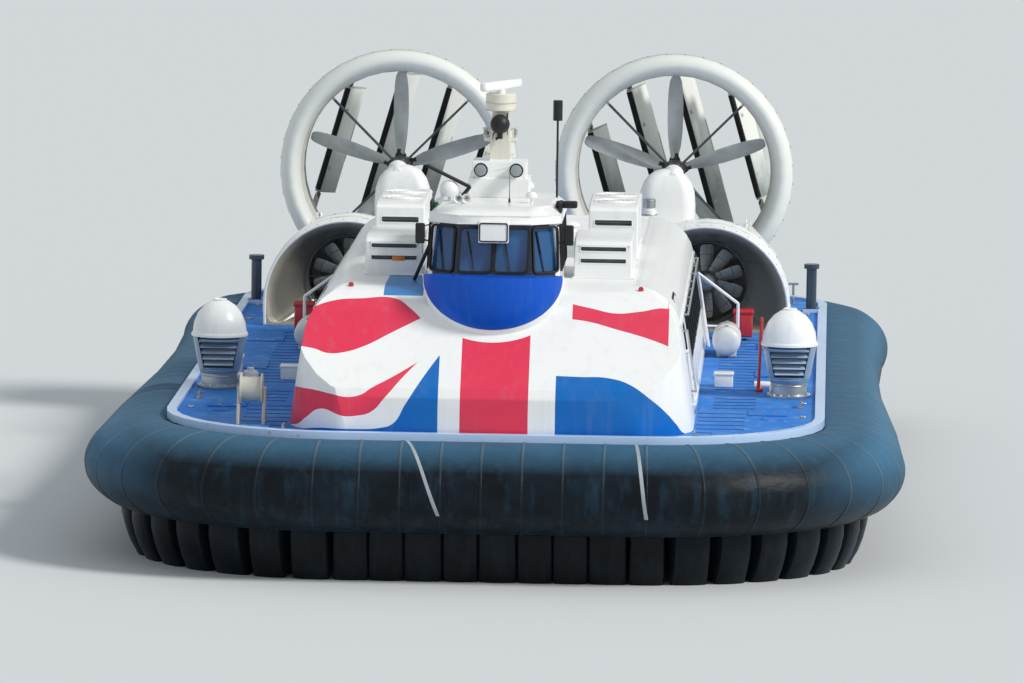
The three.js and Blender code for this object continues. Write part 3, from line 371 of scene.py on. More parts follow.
def strake_paint(name, base, post):
    """Pale gloss of the deck-edge strake, chipped along its edge; the mooring posts on it are dark enamel."""
    n, spot, (x, y, z) = start(name)
    tint = n("Mix RGBA", n("Math GREATER_THAN", z, FLOOR + 0.07), base, post)
    chips = n("MapRange", n("TexNoise", spot, 9.0, 6, 0.7), 0.62, 0.7)
    tint = n("Mix RGBA", n("Math MULTIPLY", chips, 0.6), tint, linear("#7F8890"))
    surface(n, Base_Color=tint, Roughness=n("MapRange", chips, 0, 1, 0.34, 0.7), Coat_Weight=0.3,
            Normal=grain(n, spot, 40, 2, 0.0006, 0.35))


def chin_oval(n, x, z, border=0.0):
    """1 inside the oval of the chin, seen from the front, and else 0."""
    wide = n("Math DIVIDE", x, CHIN_OVAL["half_width"] + border)
    tall = n("Math DIVIDE", n("Math SUBTRACT", z, CHIN_OVAL["z"]), CHIN_OVAL["half_height"] + border)
    return n("Math LESS_THAN", n("Math ADD", n("Math MULTIPLY", wide, wide), n("Math MULTIPLY", tall, tall)), 1.0)


def livery_layers(colours):
    """The striped livery: the bands are brushed edges on the curved nose, wrapped round its sides."""
    red, blue, white = (tuple(c) for c in (colours.flag_red, colours.flag_blue, colours.white))

    def layers(n, spot, x, y, z):
        behind = n("Math MAXIMUM", n("Math SUBTRACT", y, NOSE_LOW.y + SIDE_START), 0.0)
        behind = n("Math MULTIPLY", behind, n("Math LESS_THAN", z, ROOF_TOP - 0.25))
        across = n("Math ADD", x, n("Math MULTIPLY", n("Math SIGN", x), behind))

        def edge(points):
            """Height of a painted edge along the nose: a smooth curve through its points."""
            first, last = points[0][0], points[-1][0]
            lowest, highest = 2.0, 4.6
            made = n("FloatCurve", Value=n("MapRange", across, first, last))
            curve = made.mapping.curves[0]
            spots = [((u - first) / (last - first), (v - lowest) / (highest - lowest)) for u, v in points]
            curve.points[0].location, curve.points[1].location = spots[0], spots[-1]
            for middle in spots[1:-1]:
                curve.points.new(*middle)
            made.mapping.update()
            return n("MapRange", made, 0, 1, lowest, highest)

        def band(low, high, span):
            inside = within(n, z, edge(low), edge(high)) if low else n("Math LESS_THAN", z, edge(high))
            return n("Math MULTIPLY", inside, within(n, across, *span))

        patch = n("Math MULTIPLY", within(n, x, *ROOF_PATCH["x"]), within(n, y, *ROOF_PATCH["y"]))
        return [
            (band(None, STARBOARD_BANDS["blue_top"], (-4.2, STRIPE["white"][0])), blue),
            (band(STARBOARD_BANDS["lower_low"], STARBOARD_BANDS["lower_top"], (-4.3, -1.1)), red),
            (band(STARBOARD_BANDS["upper_low"], STARBOARD_BANDS["upper_top"], (-4.6, -1.1)), red),
            (band(None, PORT_BANDS["blue_top"], (STRIPE["white"][1], 4.2)), blue),
            (band(PORT_BANDS["upper_low"], PORT_BANDS["upper_top"], (1.25, 2.76)), red),
            (within(n, x, *STRIPE["white"]), white),
            (within(n, x, *STRIPE["red"]), red),
            # The white border round the chin, and the blue patch on the roof beside it
            (chin_oval(n, x, z, CHIN_OVAL["border"]), white),
            (n("Math MULTIPLY", patch, n("Math GREATER_THAN", z, ROOF_PATCH["over"])), linear("#3E86CC")),
        ]

    return layers


def duct_layers(n, spot, x, y, z):
    """Brighter gelcoat on the lip, the stays that carry the shaft painted dark, partly as painted shade round the hub,
    and a seam line.
    """
    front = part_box("duct_port")[0].y
    across = n("Math SUBTRACT", n("Math ABSOLUTE", x), DUCT["x"])
    up = n("Math SUBTRACT", z, DUCT["z"])
    away = n("Math ADD", n("Math MULTIPLY", across, across), n("Math MULTIPLY", up, up))
    seam = n("Math ABSOLUTE", n("Math SUBTRACT", y, front + 0.62))
    return [
        (n("Math LESS_THAN", y, front + 0.2), linear("#E4E8E5")),
        # Dark stays inside the bore: partly their paint, partly painted shade round the hub
        (n("Math LESS_THAN", away, (DUCT["bore"] - 0.05) ** 2), linear("#4A5456")),
        (n("Math LESS_THAN", seam, 0.006), linear("#6A6D6C")),
    ]


def housing_layers(n, spot, x, y, z):
    """The fan housing's mouth: cream and scuffed at its lip, then darker towards its throat, a painted shade of the
    recess made uneven by noise.
    """
    across = n("Math SUBTRACT", n("Math ABSOLUTE", x), FAN["x"])
    up = n("Math MAXIMUM", n("Math SUBTRACT", z, FAN["arch_z"]), 0.0)
    reach = n("Math SQRT", n("Math ADD", n("Math MULTIPLY", across, across), n("Math MULTIPLY", up, up)))
    forward = n("Math LESS_THAN", y, FAN["rear"] - 0.05)
    inside = n("Math MULTIPLY", n("Math LESS_THAN", reach, FAN["arch_r"] - 0.03), forward)
    shade_noise = n("Math MULTIPLY", n("TexNoise", spot, 2.2, 5, 0.6), 0.5)
    # Painted shade: the colour darkens from the lip into the throat, unevenly through the noise
    depth = n("Math ADD", n("MapRange", y, FAN["front"] + 0.02, FAN["front"] + 0.3), shade_noise)
    return [(inside, n("Mix RGBA", n("MapRange", depth, 0.3, 1.0), linear("#B4AE9C"), linear("#6C6A5E")))]


def two_tone(name, upper, lower, level, soft=0.0, axis=2):
    """Gloss paint in two colours that meet at a level, along a sharp line or over a soft stretch made wavy by noise.
    """

    def layers(n, spot, *xyz):
        wavy = n("Math ADD", xyz[axis], n("Math MULTIPLY", n("TexNoise", spot, 2.5, 5, 0.6), soft))
        return [(n("MapRange", wavy, level - soft / 2, level + soft / 2 + 0.002), linear(upper))]

    paint(name, linear(lower), layers, streak=0.15, worn=(0.34, 0.65), coat=(0.2, 0.15), skin=(45, 2, 0.0006, 0.35))


class Finishes(bpy.types.Operator):
    """Mixes the paints and makes the other materials"""

    bl_idname = "hovercraft.finishes"
    bl_label = "Finishes"

    def execute(self, context):
        colours = context.scene.hovercraft_paint
        white, cream = tuple(colours.white), tuple(colours.cream)
        paint("white gloss", white)
        strake_paint("strake gloss", linear("#C0DAFA"), linear("#2C3E50"))
        # Deep blues, whose gloss is held back so that it doesn't grey them
        paint("chin gloss", white, lambda n, spot, x, y, z: [(chin_oval(n, x, z), tuple(colours.chin))], streak=0.05,
              span=0.1, worn=(0.24, 0.4), coat=(0.08, 0.1), specular=0.15, skin=(40, 2, 0.0006, 0.3))
        paint("striped livery", white, livery_layers(colours), streak=0.12, span=0.2, worn=(0.36, 0.52),
              coat=(0.08, 0.15), specular=0.15, skin=(40, 2, 0.0006, 0.3))
        satin("cream satin", cream)
        paint("duct satin", cream, duct_layers, over=True, streak=0.25, worn=(0.38, 0.7), coat=(0, 0.03),
              skin=(50, 3, 0.0008, 0.4))
        paint("housing gloss", white, housing_layers, over=True, streak=0.2, worn=(0.3, 0.6), coat=(0.4, 0.12))
        # The black border baked on round the windscreens
        paint("wheelhouse gloss", white, lambda n, spot, x, y, z: [
            (n("Math MULTIPLY", n("Math MULTIPLY", within(n, z, 4.55, 5.5), within(n, y, -9.7, -8.95)),
               within(n, x, -0.965, 0.965)), linear("#12263A"))
        ], over=True, streak=0.12, worn=(0.26, 0.5), coat=(0.5, 0.1), skin=(40, 2, 0.0006, 0.3))
        # A white domed cap over a slate-blue body
        paint("thruster gloss", linear("#7494B2"), lambda n, spot, x, y, z: [
            (n("Math GREATER_THAN", z, THRUSTER["brim"]), white)
        ], streak=0.22, worn=(0.28, 0.5), coat=(0.4, 0.12))
        # Rudders: white above, grey below over a soft wavy stretch; the grey is painted shadow of the duct ring on
        # their lower parts
        two_tone("rudder gloss and painted shadow", "#EEF1EB", "#7E8783", 4.95, 0.9)
        two_tone("mast gloss", "#E6E2D4", "#F5F7F7", 6.23)
        # Pylons dark aft of the duct's front edge round the hub: partly their paint, partly painted shade there
        two_tone("pylon gloss", "#2B3134", "#F5F7F7", DUCT["front"] - 0.01, axis=1)
        deck_paint("non-slip deck paint", tuple(colours.deck))
        coated_fabric("bag fabric", tuple(colours.bag))
        coated_fabric("finger fabric", tuple(colours.finger), "#4C6374")
        coated_fabric("seam tape", linear("#111A22"), "#86A9C0")
        tinted_glass("tinted glass", "#1C4A7A", 0.97)
        tinted_glass("instrument screen", "#0C1A24", 1.0)
        seat_cloth("seat cloth", "#2B4A85")
        for name, base, roughness in (
            ("hull aluminium", "#A9B0B4", 0.45), ("bare aluminium", "#B4BABD", 0.35),
            ("stainless steel", "#C4C8CA", 0.28), ("blade track", "#8D9294", 0.4),
        ):
            bare_metal(name, base, roughness)
        for name, base, roughness, streak in (
            ("grey louvre paint", "#6E767A", 0.5, 0.3), ("duct lip gelcoat", "#E4E6E0", 0.35, 0.15),
            ("rudder cap paint", "#B9BAB1", 0.5, 0.3), ("engine enamel", "#6D7678", 0.5, 0.5),
            ("studio floor", "#D3D8DB", 0.9, 0.0),
        ):
            satin(name, linear(base), roughness, streak)
        for name, base, roughness, streak in (
            ("red gloss", "#C8242B", 0.35, 0.15), ("thruster band gloss", "#7494B2", 0.35, 0.13),
            ("vane gloss", "#B6C9DA", 0.4, 0.13),
        ):
            paint(name, linear(base), streak=streak, worn=(roughness, roughness + 0.25))
        for row in (
            ("console moulding", "#1B1D1F"), ("black rubber", "#14171A", 0.6), ("black moulding", "#16191C", 0.42),
            ("black vinyl", "#1C1F22", 0.5, 110.0), ("grey webbing", "#A9B2BA", 0.8, 120.0),
            ("grit tread", "#2C4A8C", 0.9, 140.0), ("red lens", "#C01525", 0.12, 30.0, 0.8),
            ("green lens", "#0E7A3E", 0.12, 30.0, 0.8), ("clear lens", "#9FA8AE", 0.08, 20.0, 1.0),
            ("orange plate", "#E8893A", 0.5), ("guard wire", "#5A5E5C", 0.5), ("louvre mesh", "#8E979C", 0.7),
            ("propeller gelcoat", "#D0D6D8", 0.32, 60.0, 0.4), ("fan composite", "#C6C8BC", 0.35, 60.0, 0.3),
            ("hub coating", "#1E2123", 0.4, 60.0, 0.3), ("glass-fibre", "#E6E8E6", 0.4, 50.0, 0.3),
        ):
            moulded(*row)
        return {"FINISHED"}


# Mesh helpers


def polar(radius, degrees):
    return radius * math.cos(math.radians(degrees)), radius * math.sin(math.radians(degrees))


def arc_points(centre, radius, first, last, steps):
    turns = [polar(radius, first + (last - first) * i / steps) for i in range(steps + 1)]
    return [(centre[0] + u, centre[1] + v) for u, v in turns]


def rounded_loop(half_w, half_h, corner, steps=4):
    """Points round a rectangle with rounded corners."""
    points = []
    for u, v, first in ((1, 1, 0), (-1, 1, 90), (-1, -1, 180), (1, -1, 270)):
        points += arc_points((u * (half_w - corner), v * (half_h - corner)), corner, first, first + 90, steps)
    return points


class Shape:
    """A mesh that grows part by part and ends as a finished piece; one with a side is made on the port side."""

    def __init__(self, side=None):
        self.bm = bmesh.new()
        self.side = side

    def box(self, low, high, bevel=0.0, segments=2):
        """A box between two corners, its edges rounded."""
        low, high = Vector(low), Vector(high)
        made = bmesh.ops.create_cube(self.bm, size=1.0)["verts"]
        bmesh.ops.scale(self.bm, vec=high - low, verts=made)
        bmesh.ops.translate(self.bm, vec=(low + high) / 2, verts=made)
        if bevel:
            edges = list(dict.fromkeys(e for v in made for e in v.link_edges))
            made = bmesh.ops.bevel(self.bm, geom=edges, offset=bevel, segments=segments, affect="EDGES", profile=0.5,
                                   material=-1)["verts"]
        return made

    def block(self, centre, size, *edges):
        """A box of a size about its centre."""
        centre, half = Vector(centre), Vector(size) / 2
        return self.box(centre - half, centre + half, *edges)

    def rod(self, first, last, radius, sides=12, radius_last=None):
        """A round bar or cone between two points."""
        first, last = Vector(first), Vector(last)
        turn = (last - first).to_track_quat("Z", "Y").to_matrix().to_4x4()
        bmesh.ops.create_cone(
            self.bm, cap_ends=True, cap_tris=False, segments=sides, radius1=radius,
            radius2=radius if radius_last is None else radius_last, depth=(last - first).length,
            matrix=Matrix.Translation((first + last) / 2) @ turn,
        )

    def stud(self, spot, out, radius, height):
        """A bolt head standing out of a surface."""
        spot = Vector(spot)
        self.rod(spot - out * 0.002, spot + out * height, radius, 6, radius * 0.75)

    def loft(self, sections, closed=False):
        """Rings drawn out one from the next, with filled ends or joined back on themselves."""
        verts = [self.bm.verts.new(p) for p in sections[0]]
        first = edges = [self.bm.edges.new(pair) for pair in zip(verts, verts[1:] + verts[:1])]
        opening = list(verts)
        for section in list(sections[1:]) + ([sections[0]] if closed else []):
            drawn = set(bmesh.ops.extrude_edge_only(self.bm, edges=edges)["geom"])
            verts = [next(e.other_vert(v) for e in v.link_edges if e.other_vert(v) in drawn) for v in verts]
            for vert, point in zip(verts, section):
                vert.co = point
            edges = [self.bm.edges.get(pair) for pair in zip(verts, verts[1:] + verts[:1])]
        if closed:
            bmesh.ops.remove_doubles(self.bm, verts=opening + verts, dist=1e-6)
        else:
            bmesh.ops.edgeloop_fill(self.bm, edges=first)
            bmesh.ops.edgeloop_fill(self.bm, edges=edges)

    def lathe(self, profile, centre, axis, steps=48, angle=2 * math.pi, first=0.0):
        """A profile of (radius, distance along) spun about an axis, closed if it ends where it starts."""
        centre, axis = Vector(centre), Vector(axis).normalized()
        out = AFT if axis.z > 0.99 else axis.orthogonal().normalized()
        out = Matrix.Rotation(first, 3, axis) @ out
        closed = (Vector(profile[0]) - Vector(profile[-1])).length < 1e-9
        verts = [self.bm.verts.new(centre + out * r + axis * along) for r, along in profile[: -1 if closed else None]]
        edges = [self.bm.edges.new(pair) for pair in zip(verts, verts[1:])]
        if closed:
            edges.append(self.bm.edges.new((verts[-1], verts[0])))
        bmesh.ops.spin(self.bm, geom=verts + edges, cent=centre, axis=axis, angle=angle, steps=steps,
                       use_merge=abs(angle) >= 2 * math.pi - 1e-6, use_duplicate=False)

    def ring(self, radius, thick, centre, axis, steps):
        """A round bar bent into a ring."""
        profile = [(radius + u, v) for u, v in (polar(thick, 45 * i) for i in range(8))]
        self.lathe([*profile, profile[0]], centre, axis, steps)

    def frame(self, half_w, half_h, corner, band, low, high, spot):
        """A rounded rectangular frame of a given band; spot turns (across, up, outwards) into a point."""
        ease = min(0.004, band / 4)
        rings = [rounded_loop(half_w + wide, half_h + wide, corner + wide) for wide in (band, band - ease, 0)]
        rings = [(rings[0], low), (rings[0], high - ease), (rings[1], high), (rings[2], high), (rings[2], low)]
        self.loft([[spot(u, v, d) for u, v in loop] for loop, d in rings], closed=True)

    def bar(self, path, radius):
        """A round bar bent along a path."""
        curve = bpy.data.curves.new("bar", "CURVE")
        curve.dimensions = "3D"
        curve.bevel_depth = radius
        curve.bevel_resolution = 2
        curve.use_fill_caps = True
        line = curve.splines.new("POLY")
        line.points.add(len(path) - 1)
        for point, spot in zip(line.points, path):
            point.co = (*spot, 1)
        carrier = bpy.data.objects.new("bar", curve)
        mesh = bpy.data.meshes.new_from_object(carrier)
        self.bm.from_mesh(mesh)
        bpy.data.objects.remove(carrier)
        bpy.data.curves.remove(curve)
        bpy.data.meshes.remove(mesh)

    def add(self, mesh, spot):
        """Adds a copy of a mesh at a place."""
        count = len(self.bm.verts)
        self.bm.from_mesh(mesh)
        self.bm.verts.ensure_lookup_table()
        bmesh.ops.transform(self.bm, matrix=spot, verts=self.bm.verts[count:])

    def turn(self, verts, centre, angle, axis):
        bmesh.ops.rotate(self.bm, cent=centre, matrix=Matrix.Rotation(angle, 3, axis), verts=verts)

    def around(self, count, make):
        """Makes a part several times, each turned on about the fore and aft axis."""
        for k in range(count):
            before = set(self.bm.verts)
            make()
            self.turn([v for v in self.bm.verts if v not in before], (0, 0, 0), 2 * math.pi * k / count, "Y")

    def move(self, vec):
        bmesh.ops.translate(self.bm, vec=vec, verts=self.bm.verts)

    def lean(self):
        """Leans what was made upright, as the cabin's side leans."""
        shear = Matrix(((1, 0, -CABIN_LEAN, CABIN_LEAN * CABIN_FOOT), (0, 1, 0, 0), (0, 0, 1, 0), (0, 0, 0, 1)))
        bmesh.ops.transform(self.bm, matrix=shear, verts=self.bm.verts)

    def done(self, name, material, slot, body="craft", smooth=35.0, outwards=True):
        """Turns it into a piece that rides on a body; the starboard one is mirrored."""
        bm = self.bm
        if self.side:
            name = f"{name}_{self.side}"
            body = body if body == "craft" else f"{body}_{self.side}"
            if SIDES[self.side] < 0:
                bmesh.ops.scale(bm, vec=(-1, 1, 1), verts=bm.verts)
                bmesh.ops.reverse_faces(bm, faces=bm.faces)
        bmesh.ops.remove_doubles(bm, verts=bm.verts, dist=1e-5)
        if outwards:
            bmesh.ops.recalc_face_normals(bm, faces=bm.faces)
        mesh = bpy.data.meshes.new(name)
        bm.to_mesh(mesh)
        bm.free()
        for polygon in mesh.polygons:
            polygon.use_smooth = True
        mesh.set_sharp_from_angle(angle=math.radians(smooth))
        mesh.materials.append(bpy.data.materials[material])
        piece = bpy.data.objects.new(name, mesh)
        bpy.context.scene.collection.objects.link(piece)
        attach(piece, body)
        return piece


def pad(half, crown, upright=False):
    """A crowned pad as a mesh: its faces swell in the middle, and its sides draw in between the corners."""
    bm = bmesh.new()
    bmesh.ops.create_cube(bm, size=2.0)
    bmesh.ops.subdivide_edges(bm, edges=bm.edges, cuts=5, use_grid_fill=True)
    thick = half[1] if upright else half[2]
    for vert in bm.verts:
        u, v, w = vert.co
        face, wide, tall = (v, u, w) if upright else (w, u, v)
        swollen = (1 - wide * wide) * (1 - tall * tall)
        pull = 1 - 0.045 * ((1 - wide * wide) * tall * tall + (1 - tall * tall) * wide * wide)
        # A sewn channel runs across the pad near its upper or rear end
        sewn = 0.5 * math.exp(-(((tall - 0.34) / 0.14) ** 2)) * (1 - wide ** 6) * (1 - abs(tall) ** 8)
        lift = face * (thick + crown * (swollen - sewn))
        wide, tall = wide * pull * half[0], tall * pull * half[2 if upright else 1]
        vert.co = (wide, lift, tall) if upright else (wide, tall, lift)
    mesh = bpy.data.meshes.new("pad")
    bm.to_mesh(mesh)
    bm.free()
    return mesh


def soften(node_name, material, width):
    """Gives a CAD node its finish, and rounds its edges as welded plate or a moulding has them."""
    shown = frame["nodes"][node_name]
    for slot in shown.material_slots:
        slot.link = "OBJECT"
        slot.material = bpy.data.materials[material]
    if material == "tinted glass":
        return
    for polygon in shown.data.polygons:
        polygon.use_smooth = True
    shown.modifiers.new("weld", "WELD").merge_threshold = 0.0002
    if width:
        bevel = shown.modifiers.new("edges", "BEVEL")
        bevel.width = width
        bevel.segments = 2
        bevel.limit_method = "ANGLE"
        bevel.angle_limit = math.radians(38)
        bevel.use_clamp_overlap = True
    shading = shown.modifiers.new("shading", "WEIGHTED_NORMAL")
    shading.keep_sharp = True
    shading.weight = 80


def crown(piece, fill):
    """Rounds a piece of upholstery; how full it is, given as fill, is not used."""
    rounded = piece.modifiers.new("crown", "SUBSURF")
    rounded.levels = rounded.render_levels = 1


# Skirt


def hull_stations(settings, pitch):
    """Points round the hull's edge at an even pitch, each with its outward direction."""
    bow, stern = settings.bow_corner, settings.stern_corner
    half, front, rear = DECK_HALF, DECK_FRONT, DECK_REAR
    # Each straight run's ends, and the middle, radius and first angle of the corner after it
    runs = [
        ((half, front + bow), (half, rear - stern), (half - stern, rear - stern), stern, 0),
        ((half - stern, rear), (-half + stern, rear), (-half + stern, rear - stern), stern, 90),
        ((-half, rear - stern), (-half, front + bow), (-half + bow, front + bow), bow, 180),
        ((-half + bow, front), (half - bow, front), (half - bow, front + bow), bow, 270),
    ]
    found = []
    for a, b, middle, radius, first in runs:
        steps = max(2, round(math.dist(a, b) / pitch))
        along = Vector((b[0] - a[0], b[1] - a[1], 0))
        out = Vector((along.y, -along.x, 0)).normalized()
        found += [(Vector((*a, 0)) + along * (i / steps), out) for i in range(steps)]
        steps = max(2, round(radius * math.radians(90) / pitch))
        for i in range(steps):
            out = Vector((*polar(1, first + 90 * i / steps), 0))
            found.append((Vector((*middle, 0)) + out * radius, out))
    return found


def swell(y):
    """Share of the bag's reach at y, eased between the listed places."""
    for (y0, s0), (y1, s1) in zip(SWELL, SWELL[1:]):
        if y < y1:
            return s0 + (s1 - s0) * max(0.0, (y - y0) / (y1 - y0))
    return SWELL[-1][1]


def bag_section(settings, steps=26):
    """The bag's section as (out, z): from its root on the hull, round its belly, to its foot inside the fingers."""
    reach = settings.bag_reach - BELLY_OUT
    turns = [polar(1, 100 - 162 * i / steps) for i in range(steps + 1)]
    belly = [(BELLY_OUT + reach * u, BELLY_Z + BELLY_HALF * v) for u, v in turns]
    return [(0.0, BAG_TOP), *belly, (FOOT_IN, FOOT_Z + 0.003), (FOOT_IN, 1.18), (0.0, 1.18)]


class SkirtBag(bpy.types.Operator):
    """Sews the inflated bag from its panels, round the hull"""

    bl_idname = "hovercraft.skirt_bag"
    bl_label = "Skirt bag"

    def execute(self, context):
        settings = context.scene.hovercraft_skirt
        rings = []
        for i, (spot, out) in enumerate(hull_stations(settings, settings.panel / PER_PANEL)):
            bulge = settings.panel_bulge * math.sin(math.pi * (i % PER_PANEL) / PER_PANEL)
            share = swell(spot.y)
            rings.append([spot + out * (r * (share if r > 0 else 1) + (bulge if r > 0.05 else 0)) + UP * z
                          for r, z in bag_section(settings)])
        s = Shape()
        s.loft(rings, closed=True)
        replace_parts(s.done("skirt_bag_panels", "bag fabric", "bag_rubber", smooth=50), "skirt_bag")
        return {"FINISHED"}


class SkirtFingers(bpy.types.Operator):
    """Hangs the row of fingers under the bag, each with its curved front and its hollow tip"""

    bl_idname = "hovercraft.skirt_fingers"
    bl_label = "Skirt fingers"

    def execute(self, context):
        settings = context.scene.hovercraft_skirt
        spots = hull_stations(settings, 0.05)
        levels = [(FOOT_Z + 0.02, 0.64), (0.6, 0.635), (0.4, 0.59), (0.2, 0.52), (0.05, 0.44), (0.0, 0.42)]
        s = Shape()
        for k in range(settings.fingers):
            here, after = (spots[round(i * len(spots) / settings.fingers) % len(spots)][0] for i in (k, k + 1))
            along, middle = after - here, (after + here) / 2
            width = along.length
            along.normalize()
            out = Vector((along.y, -along.x, 0))
            rings = []
            for z, reach in levels:
                bows = [math.pi * i / 8 for i in range(9)]
                plan = [(-math.cos(a) * width * 0.485, reach * swell(middle.y) - 0.03 + 0.12 * math.sin(a) ** 0.7)
                        for a in bows]
                plan += [(u * width, 0.32 - 0.67 * z / FOOT_Z) for u in (0.4, -0.4)]
                rings.append([middle + along * u + out * r + UP * z for u, r in plan])
            s.loft(rings)
        tips = [f for f in s.bm.faces if all(v.co.z < 1e-4 for v in f.verts)]
        bmesh.ops.inset_individual(s.bm, faces=tips, thickness=0.015)
        bmesh.ops.translate(s.bm, vec=(0, 0, 0.22), verts=list({v for f in tips for v in f.verts}))
        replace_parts(s.done("skirt_finger_row", "finger fabric", "finger_rubber", smooth=40), "skirt_fingers")
        return {"FINISHED"}


class SkirtTrim(bpy.types.Operator):
    """Adds the bag's welded seam tapes, its clamp strip with bolts, and the two handling straps at the bow"""

    bl_idname = "hovercraft.skirt_trim"
    bl_label = "Skirt seams, clamp strip and straps"

    def execute(self, context):
        settings = context.scene.hovercraft_skirt
        spots = hull_stations(settings, settings.panel / PER_PANEL)
        section = bag_section(settings)[1:-3]

        def tape(s, spot, out, cut, half, thick, turned=0.0):
            """A flat tape on the bag's skin at one station."""
            profile = (-1, 0), (-0.8, thick), (0.8, thick), (1, 0)
            along = Vector((-out.y, out.x, 0))
            share = swell(spot.y)
            rings = []
            for i, (r, z) in enumerate(cut):
                before, after = cut[max(0, i - 1)], cut[min(len(cut) - 1, i + 1)]
                facing = (out * (before[1] - after[1]) + UP * ((after[0] - before[0]) * share)).normalized()
                skin = spot + out * (r * share) + along * (turned * i / (len(cut) - 1)) + UP * z + facing * 0.001
                rings.append([skin + along * half * u + facing * v for u, v in profile])
            s.loft(rings)

        s = Shape()
        for spot, out in spots[::PER_PANEL]:
            tape(s, spot, out, section, 0.024, 0.007)
        s.done("skirt_seam_tapes", "seam tape", "bag_rubber", smooth=60)

        s = Shape()
        strip = [(0.004, -0.055), (0.02, -0.055), (0.02, 0.03), (0.004, 0.03)]
        s.loft([[spot + out * r + UP * (BAG_TOP + z) for r, z in strip] for spot, out in spots], closed=True)
        for spot, out in hull_stations(settings, settings.bolt_pitch):
            s.stud(spot + out * 0.018 + UP * (BAG_TOP + 0.008), out, 0.016, 0.014)
        s.done("skirt_clamp_strip", "bare aluminium", "bare_aluminium", smooth=30)

        s = Shape()
        for x, turned in BOW_STRAPS:
            tape(s, Vector((x, DECK_FRONT, 0)), -AFT, section[1:21], 0.03, 0.012, turned)
        s.done("bow_bag_straps", "grey webbing", "bag_rubber", smooth=60)
        return {"FINISHED"}


# Deck and cabin


class HullPaint(bpy.types.Operator):
    """Finishes the CAD pieces whose shape stays, with rounded edges"""

    bl_idname = "hovercraft.hull_paint"
    bl_label = "Hull and cabin finish"

    def execute(self, context):
        single = {
            "hull": ("hull aluminium", 0.02), "deck_plate": ("non-slip deck paint", 0.008),
            "gunwale": ("strake gloss", 0.012), "cabin_nose": ("striped livery", 0.02),
            "cabin_roof": ("striped livery", 0), "cabin_bulkhead": ("white gloss", 0.008),
            "wheelhouse_shell": ("wheelhouse gloss", 0.012), "wheelhouse_glass": ("tinted glass", 0),
            "wheelhouse_chin": ("chin gloss", 0.02), "wheelhouse_roof": ("white gloss", 0.03),
            "helm_station": ("console moulding", 0.02), "mast": ("mast gloss", 0.012),
            "mooring_reel": ("cream satin", 0.006),
        }
        paired = {
            "cabin_side": ("white gloss", 0), "cabin_glazing": ("tinted glass", 0), "door": ("white gloss", 0.008),
            "door_glass": ("tinted glass", 0),
            "roof_vent": ("white gloss", 0.03), "roof_cooler": ("white gloss", 0.03),
            "lift_fan_housing": ("housing gloss", 0.025), "engine_casing": ("white gloss", 0.02),
            "engine": ("engine enamel", 0.02), "drive_pylon": ("pylon gloss", 0.02), "duct": ("duct satin", 0.004),
            "bow_thruster_base": ("bare aluminium", 0.006), "bow_thruster_nozzle": ("thruster gloss", 0.012),
            "side_rail": ("white gloss", 0.003),
        }
        looks = single | {f"{name}_{side}": look for side in SIDES for name, look in paired.items()}
        looks |= {f"rudder_{side}_{i}": ("rudder gloss and painted shadow", 0.006) for side in SIDES for i in (1, 2, 3, 4)}
        for name, look in looks.items():
            soften(name, *look)
        return {"FINISHED"}


